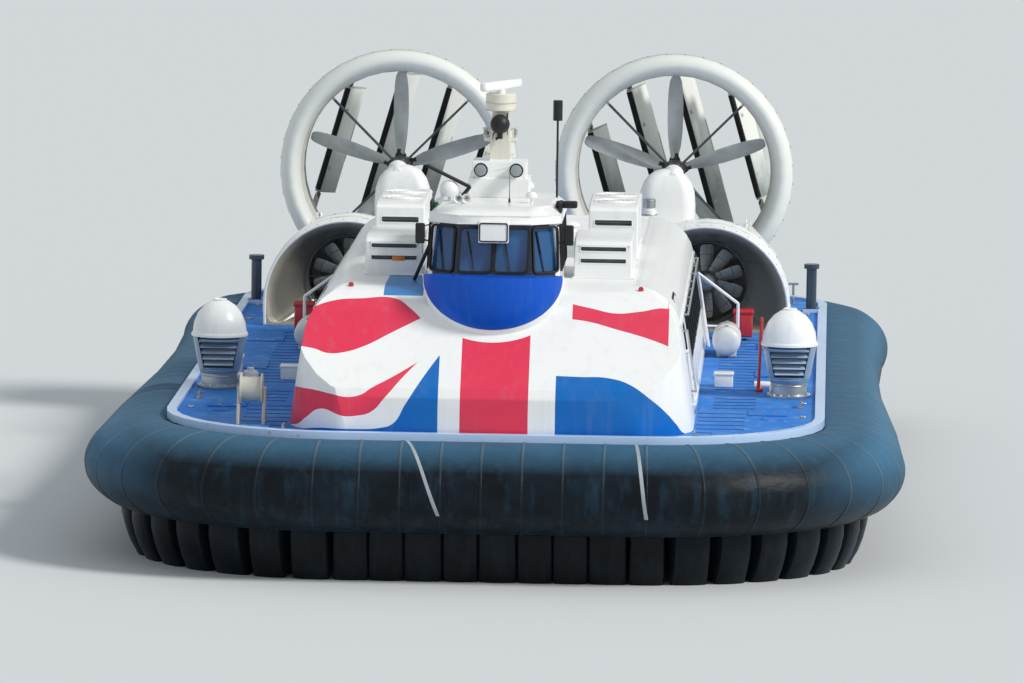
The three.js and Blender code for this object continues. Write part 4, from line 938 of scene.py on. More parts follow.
class DeckFittings(bpy.types.Operator):
    """Adds the deck's hatches, cleats, tie-down rings, boxes, tread strips and stern tie bars"""

    bl_idname = "hovercraft.deck_fittings"
    bl_label = "Deck fittings"

    def execute(self, context):
        for side in SIDES:
            s = Shape(side)
            for x, y, wide, long in DECK_HATCHES:
                s.block((x, y, FLOOR + 0.011), (wide, long, 0.022), 0.008)
                for u in (-1, 1):
                    for v in (-1, 1):
                        s.stud((x + u * (wide / 2 - 0.05), y + v * (long / 2 - 0.05), FLOOR + 0.02), UP, 0.018, 0.01)
            s.done("deck_hatches", "non-slip deck paint", "deck_paint")

            s = Shape(side)
            for x, y, wide, long in DECK_HATCHES:
                y, z = y - long / 2 + 0.09, FLOOR + 0.028
                for u in (-0.2, 0.2):
                    s.rod((x + u * wide - 0.03, y, z), (x + u * wide + 0.03, y, z), 0.012, 10)
            for x, y in DECK_CLEATS:
                for v in (-0.07, 0.07):
                    s.rod((x, y + v, FLOOR), (x, y + v, FLOOR + 0.09), 0.024, 12, 0.018)
                s.rod((x, y - 0.19, FLOOR + 0.1), (x, y, FLOOR + 0.088), 0.012, 12, 0.024)
                s.rod((x, y, FLOOR + 0.088), (x, y + 0.19, FLOOR + 0.1), 0.024, 12, 0.012)
                s.block((x, y, FLOOR + 0.006), (0.1, 0.26, 0.012), 0.004)
            for y in TIE_DOWNS:
                s.ring(0.045, 0.011, (DECK_HALF - 0.28, y, FLOOR + 0.014), UP, 18)
                s.block((DECK_HALF - 0.28, y, FLOOR + 0.005), (0.07, 0.12, 0.01), 0.004)
            s.done("deck_cleats", "bare aluminium", "bare_aluminium")

            # White boxes and pipe ends beside the thruster
            s = Shape(side)
            for x, y, (wide, long, tall) in DECK_BOXES:
                s.block((x, y, FLOOR + tall / 2), (wide, long, tall), 0.02, 3)
                s.block((x, y, FLOOR + tall), (wide * 1.1, long * 1.1, 0.04), 0.012, 3)
            for y in (-3.9, -3.7):
                s.rod((4.05, y, FLOOR + 0.09), (4.42, y, FLOOR + 0.09), 0.045, 14)
                for x in (4.13, 4.33):
                    s.block((x, y, FLOOR + 0.035), (0.06, 0.1, 0.07), 0.006)
            s.done("deck_boxes", "white gloss", "white_paint")

            s = Shape(side)
            for y in (-6.4 + i * 0.42 for i in range(24)):
                if not -5.1 < y < -4.2:
                    s.box((3.42, y, FLOOR), (4.1, y + 0.07, FLOOR + 0.004), 0.0015, 1)
            for y in (-9.6 + i * 0.5 for i in range(6)):
                s.box((3.2, y, FLOOR), (3.95, y + 0.07, FLOOR + 0.004), 0.0015, 1)
            s.done("tread_strips", "grit tread", "black_plastic")

            s = Shape(side)
            s.box((3.62, 3.3, FLOOR + 0.06), (3.94, 3.62, FLOOR + 0.5), 0.03, 3)
            s.box((3.6, 3.28, FLOOR + 0.46), (3.96, 3.64, FLOOR + 0.53), 0.02, 3)
            s.done("hose_box", "red gloss", "nose_paint")

        s = Shape()
        for x, y in ((-4.6, 10.45), (-3.1, 10.95), (-1.0, 10.98), (1.0, 10.98), (3.1, 10.95), (4.6, 10.45)):
            y = min(y, DECK_REAR - 0.12)
            s.bar([(x, y, FLOOR), (x, y, FLOOR + 0.24)], 0.022)
            s.bar([(x - 0.09, y, FLOOR + 0.24), (x + 0.09, y, FLOOR + 0.24)], 0.022)
        s.done("stern_tie_bars", "bare aluminium", "bare_aluminium")
        return {"FINISHED"}


def wall_x(z):
    """How far out the upright cabin's side stands at a height."""
    over = z - (ROOF_TOP - SHOULDER)
    return CABIN_HALF if over <= 0 else CABIN_HALF - SHOULDER + math.sqrt(max(0.0, SHOULDER ** 2 - over ** 2))


class CabinTrim(bpy.types.Operator):
    """Adds the cabin's window gaskets, door surrounds, gutters, roof seams, hatches, hand rails and marker lamps"""

    bl_idname = "hovercraft.cabin_trim"
    bl_label = "Cabin trim"

    def execute(self, context):
        middle, tall = (WINDOW["low"] + WINDOW["high"]) / 2, (WINDOW["high"] - WINDOW["low"]) / 2
        door_y, door_z = (DOOR["front"] + DOOR["rear"]) / 2, (DOOR["low"] + DOOR["high"]) / 2
        wall = CABIN_HALF

        def on_side(y):
            return lambda u, v, d: Vector((wall + d, y + u, middle + v))

        for side in SIDES:
            s = Shape(side)
            for i in range(WINDOW["count"]):
                s.frame(WINDOW["width"] / 2 - 0.012, tall - 0.012, 0.07, 0.04, -0.045, 0.01,
                        on_side(WINDOW["first"] + i * WINDOW["pitch"]))
            s.lean()
            s.done("window_gaskets", "black rubber", "black_plastic", smooth=50)

            s = Shape(side)
            s.frame((DOOR["rear"] - DOOR["front"]) / 2 + 0.004, (DOOR["high"] - DOOR["low"]) / 2 + 0.004, 0.03, 0.03,
                    -0.004, 0.004, lambda u, v, d: Vector((wall_x(door_z + v) + d, door_y + u, door_z + v)))
            s.lean()
            s.done("door_surround", "black rubber", "black_plastic", smooth=50)

            # Gutter over the windows, rub strip at the foot and vertical panel joints
            s = Shape(side)
            front, rear = NOSE_HIGH.y + 0.01, CABIN_REAR - 0.01
            s.box((wall - 0.003, front, 3.73), (wall + 0.022, rear, 3.765), 0.006)
            s.box((wall - 0.003, DOOR["rear"] + 0.06, 2.27), (wall + 0.018, rear, 2.345), 0.007)
            for i in range(WINDOW["count"] + 1):
                y = WINDOW["first"] + (i - 0.5) * WINDOW["pitch"]
                s.box((wall - 0.003, y - 0.025, 2.36), (wall + 0.005, y + 0.025, 2.8), 0.002, 1)
            s.lean()
            s.done("cabin_gutters", "white gloss", "white_paint")

            # Hand rail along the side and beside the door, on short stand-offs
            s = Shape(side)
            x, z = wall + 0.075, 3.68
            lines = [[(x, -6.2, z), (x, 2.7, z)], [(x, -7.62, 2.6), (x, -7.62, 3.6)]]
            lines += [[(x, y, z), (wall - 0.002, y, z)] for y in (-6.15, -4.9, -3.65, -2.4, -1.15, 0.1, 1.35, 2.65)]
            lines += [[(x, -7.62, z), (wall - 0.01, -7.62, z)] for z in (2.62, 3.58)]
            for line in lines:
                s.bar([(x - CABIN_LEAN * (z - FLOOR), y, z) for x, y, z in line], 0.016)
            s.done("side_hand_rail", "stainless steel", "bare_aluminium")

            s = Shape(side)
            for first, last in ((-5.4, -4.5), (-1.6, 2.6)):
                s.bar([(1.98, first, 4.43), (1.98, last, 4.43)], 0.017)
                steps = max(1, round((last - first) / 1.05))
                for y in (first + (last - first) * i / steps for i in range(steps + 1)):
                    s.bar([(1.98, y, 4.43), (1.98, y, 4.348)], 0.017)
            s.done("roof_hand_rail", "stainless steel", "bare_aluminium")

            # Door leaf: window gasket, then grab handle, latch plate and battens
            s = Shape(side)
            s.frame(0.246, tall - 0.012, 0.06, 0.035, -0.04, 0.008, on_side(door_y))
            s.lean()
            s.done("door_window_gasket", "black rubber", "black_plastic", "door", 50)
            s = Shape(side)
            s.box((wall - 0.002, -6.66, 2.62), (wall + 0.006, -6.55, 2.8), 0.003)
            s.box((wall + 0.004, -6.72, 2.705), (wall + 0.03, -6.57, 2.735), 0.01, 3)
            s.rod((wall, -6.6, 2.72), (wall + 0.03, -6.6, 2.72), 0.018)
            for z in (2.36, 3.7):
                s.box((wall - 0.002, -7.3, z), (wall + 0.004, -6.7, z + 0.05), 0.002, 1)
            s.lean()
            s.done("door_handle", "stainless steel", "bare_aluminium", "door")

        # Roof: seam battens, two escape hatches and low vents
        s = Shape()
        for i in range(9):
            s.block((0, -5.2 + i, ROOF_TOP + 0.003), (4.2, 0.06, 0.01), 0.003, 1)
        for y in (-0.9, 1.5):
            s.block((0, y, ROOF_TOP + 0.024), (0.84, 0.84, 0.052), 0.015, 3)
            s.block((0, y, ROOF_TOP + 0.065), (0.76, 0.76, 0.04), 0.03, 3)
            for x in (-0.25, 0.25):
                s.rod((x, y + 0.4, ROOF_TOP + 0.07), (x + 0.08, y + 0.4, ROOF_TOP + 0.07), 0.018)
        for x, y in ((-0.9, 0.3), (0.9, 0.3), (0.0, 2.6)):
            s.rod((x, y, ROOF_TOP - 0.002), (x, y, ROOF_TOP + 0.09), 0.09, 20)
            s.lathe([(0.0, 0.17), (0.09, 0.155), (0.145, 0.12), (0.155, 0.09), (0.14, 0.08), (0.0, 0.08)],
                    (x, y, ROOF_TOP), UP, 24)
        s.done("cabin_roof_fittings", "white gloss", "white_paint")

        s = Shape()
        for x, y, z in MARKER_LAMPS:
            s.rod((x, y, z - 0.03), (x, y - 0.05, z + 0.035), 0.05, 16, 0.04)
        s.done("nose_marker_lamps", "red lens", "nose_paint")

        # Rear wall: two fixed windows and two louvred vents
        rear = CABIN_REAR
        gaskets, panes, louvres = Shape(), Shape(), Shape()
        for side in (-1, 1):
            x = 0.85 * side
            gaskets.frame(0.42, 0.32, 0.08, 0.04, -0.004, 0.012, lambda u, v, d: Vector((x - u, rear + d, 3.35 + v)))
            panes.box((x - 0.425, rear, 3.03), (x + 0.425, rear + 0.004, 3.67), 0.001, 1)
            x = 2.1 * side
            louvres.box((x - 0.34, rear, 2.9), (x + 0.34, rear + 0.02, 3.5), 0.008)
            for z in (2.96 + i * 0.065 for i in range(8)):
                made = louvres.box((x - 0.29, rear + 0.018, z), (x + 0.29, rear + 0.03, z + 0.05), 0.003, 1)
                louvres.turn(made, (x, rear + 0.02, z + 0.02), -0.5, "X")
        gaskets.done("rear_window_gaskets", "black rubber", "black_plastic", smooth=50)
        panes.done("rear_windows", "tinted glass", "window_glass")
        louvres.done("rear_louvres", "white gloss", "white_paint")
        return {"FINISHED"}


# Wheelhouse and roof


def house_plan(z, grow=0.0):
    """Corners of the wheelhouse's plan at a height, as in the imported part, moved outwards by grow."""
    share = (z - HOUSE["low"]) / (HOUSE["high"] - HOUSE["low"])
    half = HOUSE["half"] - HOUSE["lean"] * share + grow
    front = HOUSE["front"] + HOUSE["rake"] * share - grow
    rear = HOUSE["rear"] - HOUSE["lean"] * share + grow
    brow = HOUSE["brow"] - HOUSE["lean"] * share + grow / 3
    cheek = front + 0.33 + grow / 2
    plan = [(half, rear), (-half, rear), (-half, cheek), (-brow, front), (brow, front), (half, cheek)]
    return [Vector((x, y, z)) for x, y in plan]


class WheelhouseTrim(bpy.types.Operator):
    """Adds the wheelhouse's window gaskets, wipers, drip edge, side mirrors, lamps, horns, domes and aerials"""

    bl_idname = "hovercraft.wheelhouse_trim"
    bl_label = "Wheelhouse trim"

    def execute(self, context):
        low, high, eaves = HOUSE["glass_low"], HOUSE["glass_high"], HOUSE["high"]
        middle, roof, top = (low + high) / 2, eaves + 0.262, eaves + 0.13
        plans = house_plan(low), house_plan(high)

        def corner(i, share):
            return plans[0][i % 6].lerp(plans[1][i % 6], share)

        def on_wall(wall, along, z, out=0.0):
            share = (z - low) / (high - low)
            start = corner(wall, share)
            flat = (corner(wall + 1, share) - start).normalized()
            return start + flat * along - Vector((flat.y, -flat.x, 0)) * out

        # Each wall's number of panes, and the margin at its ends
        gaskets, wipers = Shape(), Shape()
        for wall, (panes, margin) in enumerate(((2, 0.17), (3, 0.11), (1, 0.05), (2, 0.045), (1, 0.05), (3, 0.11))):
            run = (corner(wall, 0.5) - corner(wall + 1, 0.5)).length
            wide = (run - 2 * margin - (panes - 1) * 0.06) / panes
            for i in range(panes):
                centre = margin + i * (wide + 0.06) + wide / 2
                gaskets.frame(wide / 2 - 0.008, (high - low) / 2 - 0.01, 0.05, 0.03, -0.035, 0.008,
                              lambda u, v, d: on_wall(wall, centre + u, middle + v, d))
                if 2 <= wall <= 4:
                    foot = on_wall(wall, centre, low - 0.03, 0.03)
                    tip = on_wall(wall, centre - wide * 0.22, high - 0.22, 0.03)
                    blade = (tip - foot).normalized()
                    wipers.rod(foot, tip, 0.009, 8)
                    wipers.rod(tip - blade * 0.2, tip + blade * 0.16, 0.014, 8)
                    wipers.rod(*(on_wall(wall, centre, low - 0.03, d) for d in (0.0, 0.045)), 0.02, 10)
        gaskets.done("wheelhouse_gaskets", "black rubber", "black_plastic", smooth=50)
        wipers.done("wipers", "black moulding", "black_plastic")

        # Drip edge under the eaves, and the seam round the roof's brim
        s = Shape()
        for level, z, out, tall, deep in ((eaves, eaves + 0.004, 0.034, 0.02, 0.012), (top, top, 0.036, 0.014, 0.008)):
            edge = (out - 0.01, z), (out + deep, z), (out + deep, z + tall), (out - 0.01, z + tall)
            s.loft([[(p.x, p.y, lift) for p in house_plan(level, grow)] for grow, lift in edge], closed=True)
        s.done("wheelhouse_drip_edge", "white gloss", "white_paint")

        # Blank box over the windscreen: a recessed frame round its plain face
        s = Shape()
        s.frame(0.205, 0.13, 0.02, 0.022, -0.003, 0.008,
                lambda u, v, d: Vector((u, HOUSE["front"] + 0.06 - d, eaves - 0.105 + v)))
        s.done("brow_box_frame", "black rubber", "black_plastic")

        # Side mirrors, and the side lamps with their boards
        for side in SIDES:
            x, y, z = MIRROR
            s = Shape(side)
            s.box((x, y - 0.03, z - 0.16), (x + 0.15, y + 0.03, z + 0.16), 0.025, 3)
            for lift in (1, -1):
                s.rod((x + 0.05, y, z + 0.1 * lift), (0.98, y + 0.12, z + 0.14 * lift), 0.012, 8)
            s.done("mirror", "black moulding", "black_plastic")
            s = Shape(side)
            s.box((0.99, -8.62, top - 0.005), (1.035, -8.1, top + 0.17), 0.008)
            if side == "port":
                s.box((0.93, -8.34, top + 0.06), (1.27, -8.16, top + 0.17), 0.03, 3)
            s.done("side_lamp_board", "black moulding", "black_plastic")
            s = Shape(side)
            s.rod((0.97, -8.28, top), (0.97, -8.28, top + 0.13), 0.05, 20)
            s.done("side_lamp", *(("red lens", "nose_paint") if side == "port" else ("green lens", "blue_paint")))

        # Horns, domes and aerials on the wheelhouse roof
        s = Shape()
        for x, long in ((-0.58, 0.42), (-0.46, 0.34)):
            s.lathe([(0.02, 0.0), (0.022, long * 0.5), (0.04, long * 0.8), (0.075, long), (0.068, long),
                     (0.034, long * 0.8), (0.014, long * 0.5), (0.0, long * 0.45)], (x, -8.3, roof + 0.09), -AFT, 24)
            s.rod((x, -8.42, roof - 0.01), (x, -8.42, roof + 0.08), 0.015, 8)
        for x, y, r in ((0.55, -8.35, 0.09), (0.42, -6.72, 0.11)):
            s.rod((x, y, roof - 0.01), (x, y, roof + 0.12), 0.02, 10)
            s.lathe([(0.0, 0.1 + r), (r * 0.6, 0.1 + r * 0.88), (r, 0.1 + r * 0.4), (r, 0.1), (r * 0.8, 0.08),
                     (0.0, 0.08)], (x, y, roof), UP, 24)
        s.done("wheelhouse_roof_fittings", "white gloss", "white_paint")

        s = Shape()
        s.rod((*WHIP, 5.6), (*WHIP, 5.7), 0.022, 10, 0.016)
        s.rod((*WHIP, 5.69), (*WHIP, 6.15), 0.006, 8, 0.003)
        s.rod((*POLE, 6.83), (*POLE, 7.15), 0.075, 20)
        s.rod((*POLE, roof - 0.1), (*POLE, 6.84), 0.018, 10)
        s.done("aerials", "black moulding", "black_plastic")

        # Dark struts with a white dome, on the roof to starboard of the wheelhouse
        s = Shape()
        for first, last in STRUTS:
            s.rod(first, last, 0.03, 10)
        s.done("aerial_frame", "black moulding", "black_plastic")
        s = Shape()
        x, y, z = STRUT_DOME
        s.lathe([(0.0, 0.17), (0.09, 0.15), (0.15, 0.08), (0.16, 0.0), (0.13, -0.08), (0.0, -0.1)], (x, y, z), UP, 28)
        s.rod((x, y, z - 0.09), (x, y, eaves + 0.2), 0.025, 12)
        s.done("satellite_dome", "white gloss", "white_paint")
        return {"FINISHED"}


class MastTrim(bpy.types.Operator):
    """Adds lenses, lamps, conduits and steps to the mast, and shapes the radar scanner"""

    bl_idname = "hovercraft.mast_trim"
    bl_label = "Mast and radar"

    def execute(self, context):
        x, y = MAST["x"], MAST["y"]
        roof = HOUSE["high"] + 0.27
        rims, lenses = Shape(), Shape()
        for u in (-0.28, 0.28):
            spot = (x + u, y, roof + 0.45)
            rims.lathe([(0.088, 0.62), (0.108, 0.625), (0.112, 0.6), (0.112, 0.56)], spot, -AFT, 28)
            lenses.lathe([(0.0, 0.632), (0.05, 0.63), (0.086, 0.622), (0.086, 0.618), (0.0, 0.618)], spot, -AFT, 28)
        piece = rims.done("searchlight_rims", "black moulding", "black_plastic", outwards=False)
        piece.modifiers.new("thickness", "SOLIDIFY").thickness = 0.006
        lenses.done("searchlight_lenses", "clear lens", "window_glass", smooth=60)

        s = Shape()
        bmesh.ops.create_uvsphere(s.bm, u_segments=28, v_segments=16, radius=0.155,
                                  matrix=Matrix.Translation((x, y - 0.24, 6.79)))
        s.rod((x - 0.05, y - 0.3, 6.56), (x - 0.05, y - 0.12, 6.56), 0.02, 10)
        s.rod((x, y - 0.24, 6.56), (x, y - 0.24, 6.66), 0.045, 14)
        s.done("mast_camera_ball", "black moulding", "black_plastic", smooth=60)

        # Mast head lamps, steps, bolts and conduits
        s, lamps = Shape(), Shape()
        for u in (-0.24, 0.24):
            s.rod((x + u, y, 6.56), (x + u, y, 6.6), 0.035, 14)
            s.rod((x + u, y, 6.69), (x + u, y, 6.715), 0.04, 16)
            lamps.rod((x + u, y, 6.6), (x + u, y, 6.69), 0.03, 16)
        for z in MAST["steps"]:
            s.rod((x - 0.2, y + 0.16, z), (x + 0.2, y + 0.16, z), 0.012, 8)
        for u in (-0.4, 0.4):
            for v in (-0.34, 0.36):
                s.stud((x + u, y + v, roof + 0.3), UP, 0.02, 0.012)
        for z in (7.0, 7.12):
            s.ring(0.243, 0.008, (x, y, z), UP, 36)
        s.done("mast_fittings", "cream satin", "cream_paint")
        lamps.done("mast_lamps", "clear lens", "window_glass")
        s = Shape()
        s.bar([(x + 0.12, y - 0.15, 6.2), (x + 0.115, y - 0.14, 6.5), (x + 0.11, y - 0.13, 6.95)], 0.012)
        s.bar([(x - 0.12, y - 0.15, 6.2), (x - 0.115, y - 0.14, 6.6), (x - 0.06, y - 0.15, 6.72)], 0.012)
        s.done("mast_conduits", "black rubber", "black_plastic")

        # The scanner's bar is a moulded box with drawn-in ends, over a short gear box
        low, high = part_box("radar_scanner")
        axis = joint_place("radar_spin")
        bar_low, bar_high = high.z - 0.145, high.z - 0.002
        middle, half = (bar_low + bar_high) / 2, (bar_high - bar_low) / 2
        end = [(0.618, 0.3, 0.35), (0.6, 0.75, 0.8), (0.56, 1.0, 1.0)]
        ends = [(-along, wide, tall) for along, wide, tall in end] + end[::-1]
        loop = rounded_loop(1.0, 1.0, 0.45, 3)
        s = Shape()
        s.loft([[(along, u * 0.068 * wide, middle + v * half * tall) for u, v in loop] for along, wide, tall in ends])
        s.turn(s.bm.verts, (0, 0, 0), math.radians(MAST["scanner_turn"]), "Z")
        s.move((axis.x, axis.y, 0))
        s.lathe([(0.0, low.z), (0.068, low.z), (0.07, low.z + 0.05), (0.055, low.z + 0.06), (0.055, bar_low + 0.02),
                 (0.0, bar_low + 0.02)], (axis.x, axis.y, 0), UP, 28)
        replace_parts(s.done("radar_bar", "white gloss", "white_paint", "radar_scanner", 40), "radar_scanner")
        return {"FINISHED"}


class RoofBoxTrim(bpy.types.Operator):
    """Adds louvre blades, lid strips, bolts and fan grilles to the ventilation boxes and coolers on the roof"""

    bl_idname = "hovercraft.roof_box_trim"
    bl_label = "Roof boxes"

    def execute(self, context):
        for side in SIDES:
            blades, backs, trim = (Shape(side) for _ in range(3))
            for box in (VENT, COOLER):
                (x0, x1), (y0, y1), tall, top = box["x"], box["y"], box["slot_height"], box["top"]
                for z in box["slots"]:
                    for low in (z + tall * 0.12, z + tall * 0.57):
                        made = blades.box((x0 + 0.1, y0 + 0.02, low), (x1 - 0.1, y0 + 0.08, low + 0.006), 0.002, 1)
                        blades.turn(made, (x0, y0 + 0.05, low), 0.5, "X")
                    backs.box((x0 + 0.101, y0 + 0.08, z + 0.001), (x1 - 0.101, y0 + 0.09, z + tall - 0.001))
                    trim.frame((x1 - x0) / 2 - 0.1, tall / 2, 0.01, 0.018, -0.004, 0.008,
                               lambda u, v, d: Vector(((x0 + x1) / 2 + u, y0 - d, z + tall / 2 + v)))
                trim.box((x0 - 0.012, y0 + 0.5, top - 0.06), (x0 + 0.004, y1 - 0.12, top - 0.03), 0.003, 1)
                trim.box((x1 - 0.004, y0 + 0.5, top - 0.06), (x1 + 0.012, y1 - 0.12, top - 0.03), 0.003, 1)
                trim.box((x0 - 0.03, y0 - 0.03, ROOF_TOP), (x1 + 0.03, y1 + 0.03, ROOF_TOP + 0.025), 0.006, 1)
                steps = round((y1 - y0) / 0.3)
                for i in range(steps + 1):
                    y = y0 + 0.03 + (y1 - y0 - 0.06) * i / steps
                    for x, out in ((x0, -OUT), (x1, OUT)):
                        trim.stud((x, y, ROOF_TOP + 0.1), out, 0.014, 0.01)
            # Round fan grilles on the cooler's lid
            x, z = sum(COOLER["x"]) / 2, COOLER["top"] + 0.012
            for y in (-3.6, -2.6):
                for r in (0.1, 0.18, 0.26, 0.33):
                    trim.ring(r, 0.008, (x, y, z), UP, 28)
                for u, v in (polar(0.335, 45 * k) for k in range(8)):
                    trim.rod((x, y, z), (x + u, y + v, z), 0.006, 6)
            blades.done("roof_box_louvres", "grey louvre paint", "black_plastic")
            backs.done("roof_box_mesh", "louvre mesh", "black_plastic")
            trim.done("roof_box_trim", "white gloss", "white_paint")
        s = Shape()
        s.box((-1.69, VENT["y"][0] - 0.012, 4.585), (-1.49, VENT["y"][0] + 0.004, 4.655), 0.006)
        s.done("vent_handle", "orange plate", "nose_paint")
        return {"FINISHED"}


# Fans, engines and propellers


def blade_ring(r, chord, thick, angle):
    """One aerofoil section of a blade that stands along +Z, its chord across X and Y."""
    c, s = polar(1, angle)
    ring = []
    for u, v in (polar(0.5, 30 * i) for i in range(12)):
        off = v * (0.75 + 0.4 * (0.5 - u)) * (0.35 if u > 0.4 else 1.0) * thick
        ring.append((u * chord * c - off * s, u * chord * s + off * c, r))
    return ring


class LiftFans(bpy.types.Operator):
    """Shapes the lift-fan rotors, and adds the housings' rims, guards, latches and bolts"""

    bl_idname = "hovercraft.lift_fans"
    bl_label = "Lift fans"

    def execute(self, context):
        x, front, rear, arch = FAN["x"], FAN["front"], FAN["rear"], FAN["arch_r"]
        eye = front + 0.62

        def round_eye(radius, degrees, y):
            u, v = polar(radius, degrees)
            return Vector((x + u, y, FAN["eye_z"] + v))

        for side in SIDES:
            # Rotor: a spun hub with a pointed cap, and the twisted blades
            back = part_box(f"lift_fan_{side}")[1].y - eye
            s = Shape(side)
            s.lathe([(0.0, -0.06), (0.07, -0.045), (0.14, -0.005), (0.185, 0.04), (0.2, 0.07), (0.2, 0.41),
                     (0.16, 0.425), (0.07, 0.43), (0.07, back), (0.0, back)], (x, eye, FAN["eye_z"]), AFT, 40)
            s.done("lift_fan_hub", "stainless steel", "blade_composite", "lift_fan", 40)
            s = Shape(side)
            s.around(FAN["blades"], lambda: s.loft([blade_ring(*row) for row in FAN_TABLE]))
            s.move((x, eye + 0.24, FAN["eye_z"]))
            piece = s.done("lift_fan_blades", "fan composite", "blade_composite", "lift_fan", 50)
            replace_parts(piece, f"lift_fan_{side}")

            # Rolled rim round the mouth, two hoops and the latches
            s = Shape(side)
            for back, grow, thick in ((-0.004, -0.02, 0.026), (0.32, 0.004, 0.012), (0.98, 0.004, 0.012)):
                y = front + back
                hoop = [(u, y, v) for u, v in arc_points((x, FAN["arch_z"]), arch + grow, 0, 180, 36)]
                s.bar([(hoop[0][0], y, FLOOR + 0.03), *hoop, (hoop[-1][0], y, FLOOR + 0.03)], thick)
            for u in (x - arch - 0.012, x + arch + 0.012):
                for y in (front + 0.2, front + 1.15):
                    s.box((u - 0.014, y, 2.42), (u + 0.014, y + 0.09, 2.6), 0.006)
            s.done("fan_housing_rims", "white gloss", "white_paint", smooth=50)

            # Wire guard in front of the eye, on four stays
            s = Shape(side)
            for radius, thick in ((0.3, 0.005), (0.5, 0.005), (0.715, 0.014)):
                s.ring(radius, thick, (x, eye - 0.09, FAN["eye_z"]), AFT, 44)
            for a in range(0, 360, 45):
                s.rod(round_eye(0.3, a, eye - 0.09), round_eye(0.73, a, eye - 0.09), 0.005, 6)
            for a in range(45, 360, 90):
                s.rod(round_eye(0.72, a, eye - 0.09), round_eye(0.74, a, eye + 0.015), 0.02, 8)
            s.done("fan_guard", "guard wire", "bare_aluminium", smooth=50)
            s = Shape(side)
            for c, v in (polar(1, a) for a in range(6, 178, 9)):
                for y in (front + 0.08, rear - 0.08):
                    s.stud((x + arch * c, y, FAN["arch_z"] + arch * v), Vector((c, 0, v)), 0.015, 0.01)
            s.done("fan_housing_bolts", "stainless steel", "bare_aluminium")
        return {"FINISHED"}


class EngineCasings(bpy.types.Operator):
    """Adds louvre blades, access panels, hinges, lifting eyes and exhaust collars to the engine casings"""

    bl_idname = "hovercraft.engine_casings"
    bl_label = "Engine casings"

    def execute(self, context):
        front, rear, outer, inner, top = (CASING[k] for k in ("front", "rear", "outer", "inner", "top"))
        for side in SIDES:
            s = Shape(side)
            for z in (2.72 + i * 0.13 for i in range(4)):
                made = s.box((outer - 0.09, front + 0.31, z), (outer - 0.005, front + 1.69, z + 0.008), 0.002, 1)
                s.turn(made, (outer - 0.045, front, z + 0.004), -0.5, "Y")
            s.done("casing_louvres", "grey louvre paint", "black_plastic")

            # Access panels proud of the inner side and the top, with latches and hinges
            s = Shape(side)
            for y0, y1 in ((front + 0.15, front + 0.95), (front + 1.05, rear - 0.12)):
                s.box((inner - 0.012, y0, 2.32), (inner + 0.004, y1, 3.38), 0.006)
                s.box((inner + 0.42, y0, top - 0.004), (outer - 0.6, y1, top + 0.014), 0.006)
                for z in (2.5, 3.2):
                    s.box((inner - 0.028, y0 + 0.03, z), (inner - 0.008, y0 + 0.12, z + 0.06), 0.005)
                    s.rod((inner - 0.02, y1 - 0.02, z - 0.03), (inner - 0.02, y1 - 0.02, z + 0.09), 0.012, 10)
            s.frame(0.71, 0.27, 0.02, 0.035, -0.004, 0.012,
                    lambda u, v, d: Vector((outer + d, front + 1.0 + u, 2.925 + v)))
            # Lifting eyes, and a grab rail along the top's outer edge
            for y in (front + 0.3, rear - 0.3):
                for x in (inner + 0.36, outer - 0.54):
                    s.ring(0.045, 0.014, (x, y, top + 0.045), OUT, 20)
                    s.rod((x, y, top - 0.003), (x, y, top + 0.012), 0.035, 12)
            rail = (0.2, 0), (0.2, 0.09), (1.85, 0.09), (1.85, 0)
            s.bar([(outer - 0.47, front + along, top + lift) for along, lift in rail], 0.014)
            s.done("casing_panels", "white gloss", "white_paint")

            s = Shape(side)
            s.lathe([(0.078, 0.02), (0.078, 0.16), (0.1, 0.17), (0.112, 0.155), (0.108, 0.02)], EXHAUST, UP, 32)
            s.ring(0.134, 0.012, EXHAUST - UP * 0.1, UP, 32)
            s.done("exhaust_collar", "bare aluminium", "bare_aluminium")
            s = Shape(side)
            for y in (front + 0.12, front + 1.0, rear - 0.09):
                for z in (2.3, 2.85, 3.2):
                    s.stud((outer, y, z), OUT, 0.014, 0.01)
                    s.stud((inner, y, z - 0.04), -OUT, 0.014, 0.01)
            s.done("casing_bolts", "stainless steel", "bare_aluminium")
        return {"FINISHED"}


class Propellers(bpy.types.Operator):
    """Shapes the five-bladed propellers with their hubs, spinners and blade cuffs"""

    bl_idname = "hovercraft.propellers"
    bl_label = "Propellers"

    def execute(self, context):
        cuff = [(0.0, 0.14), (0.1, 0.15), (0.1, 0.2), (0.085, 0.225), (0.07, 0.25), (0.07, 0.3), (0.0, 0.31)]
        for side in SIDES:
            axis = joint_place(f"propeller_spin_{side}")
            middle = Vector((abs(axis.x), PROP["y"], axis.z))
            s = Shape(side)
            s.around(PROP["blades"], lambda: s.loft([blade_ring(*row) for row in PROP_TABLE]))
            s.move(middle)
            piece = s.done("propeller_blades", "propeller gelcoat", "blade_composite", "propeller", 60)
            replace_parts(piece, f"propeller_{side}")
            s = Shape(side)
            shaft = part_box(f"propeller_{side}")[0].y - PROP["y"]
            s.lathe([(0.0, shaft), (0.085, shaft), (0.085, -0.13), (0.15, -0.128), (0.182, -0.1), (0.19, -0.07),
                     (0.19, 0.15), (0.17, 0.24), (0.13, 0.33), (0.075, 0.4), (0.03, 0.418), (0.0, 0.42)],
                    (0, 0, 0), AFT, 40)
            s.around(PROP["blades"], lambda: s.lathe(cuff, (0, 0, 0), UP, 24))
            s.move(middle)
            s.done("propeller_hub", "hub coating", "blade_composite", "propeller", 40)
        return {"FINISHED"}


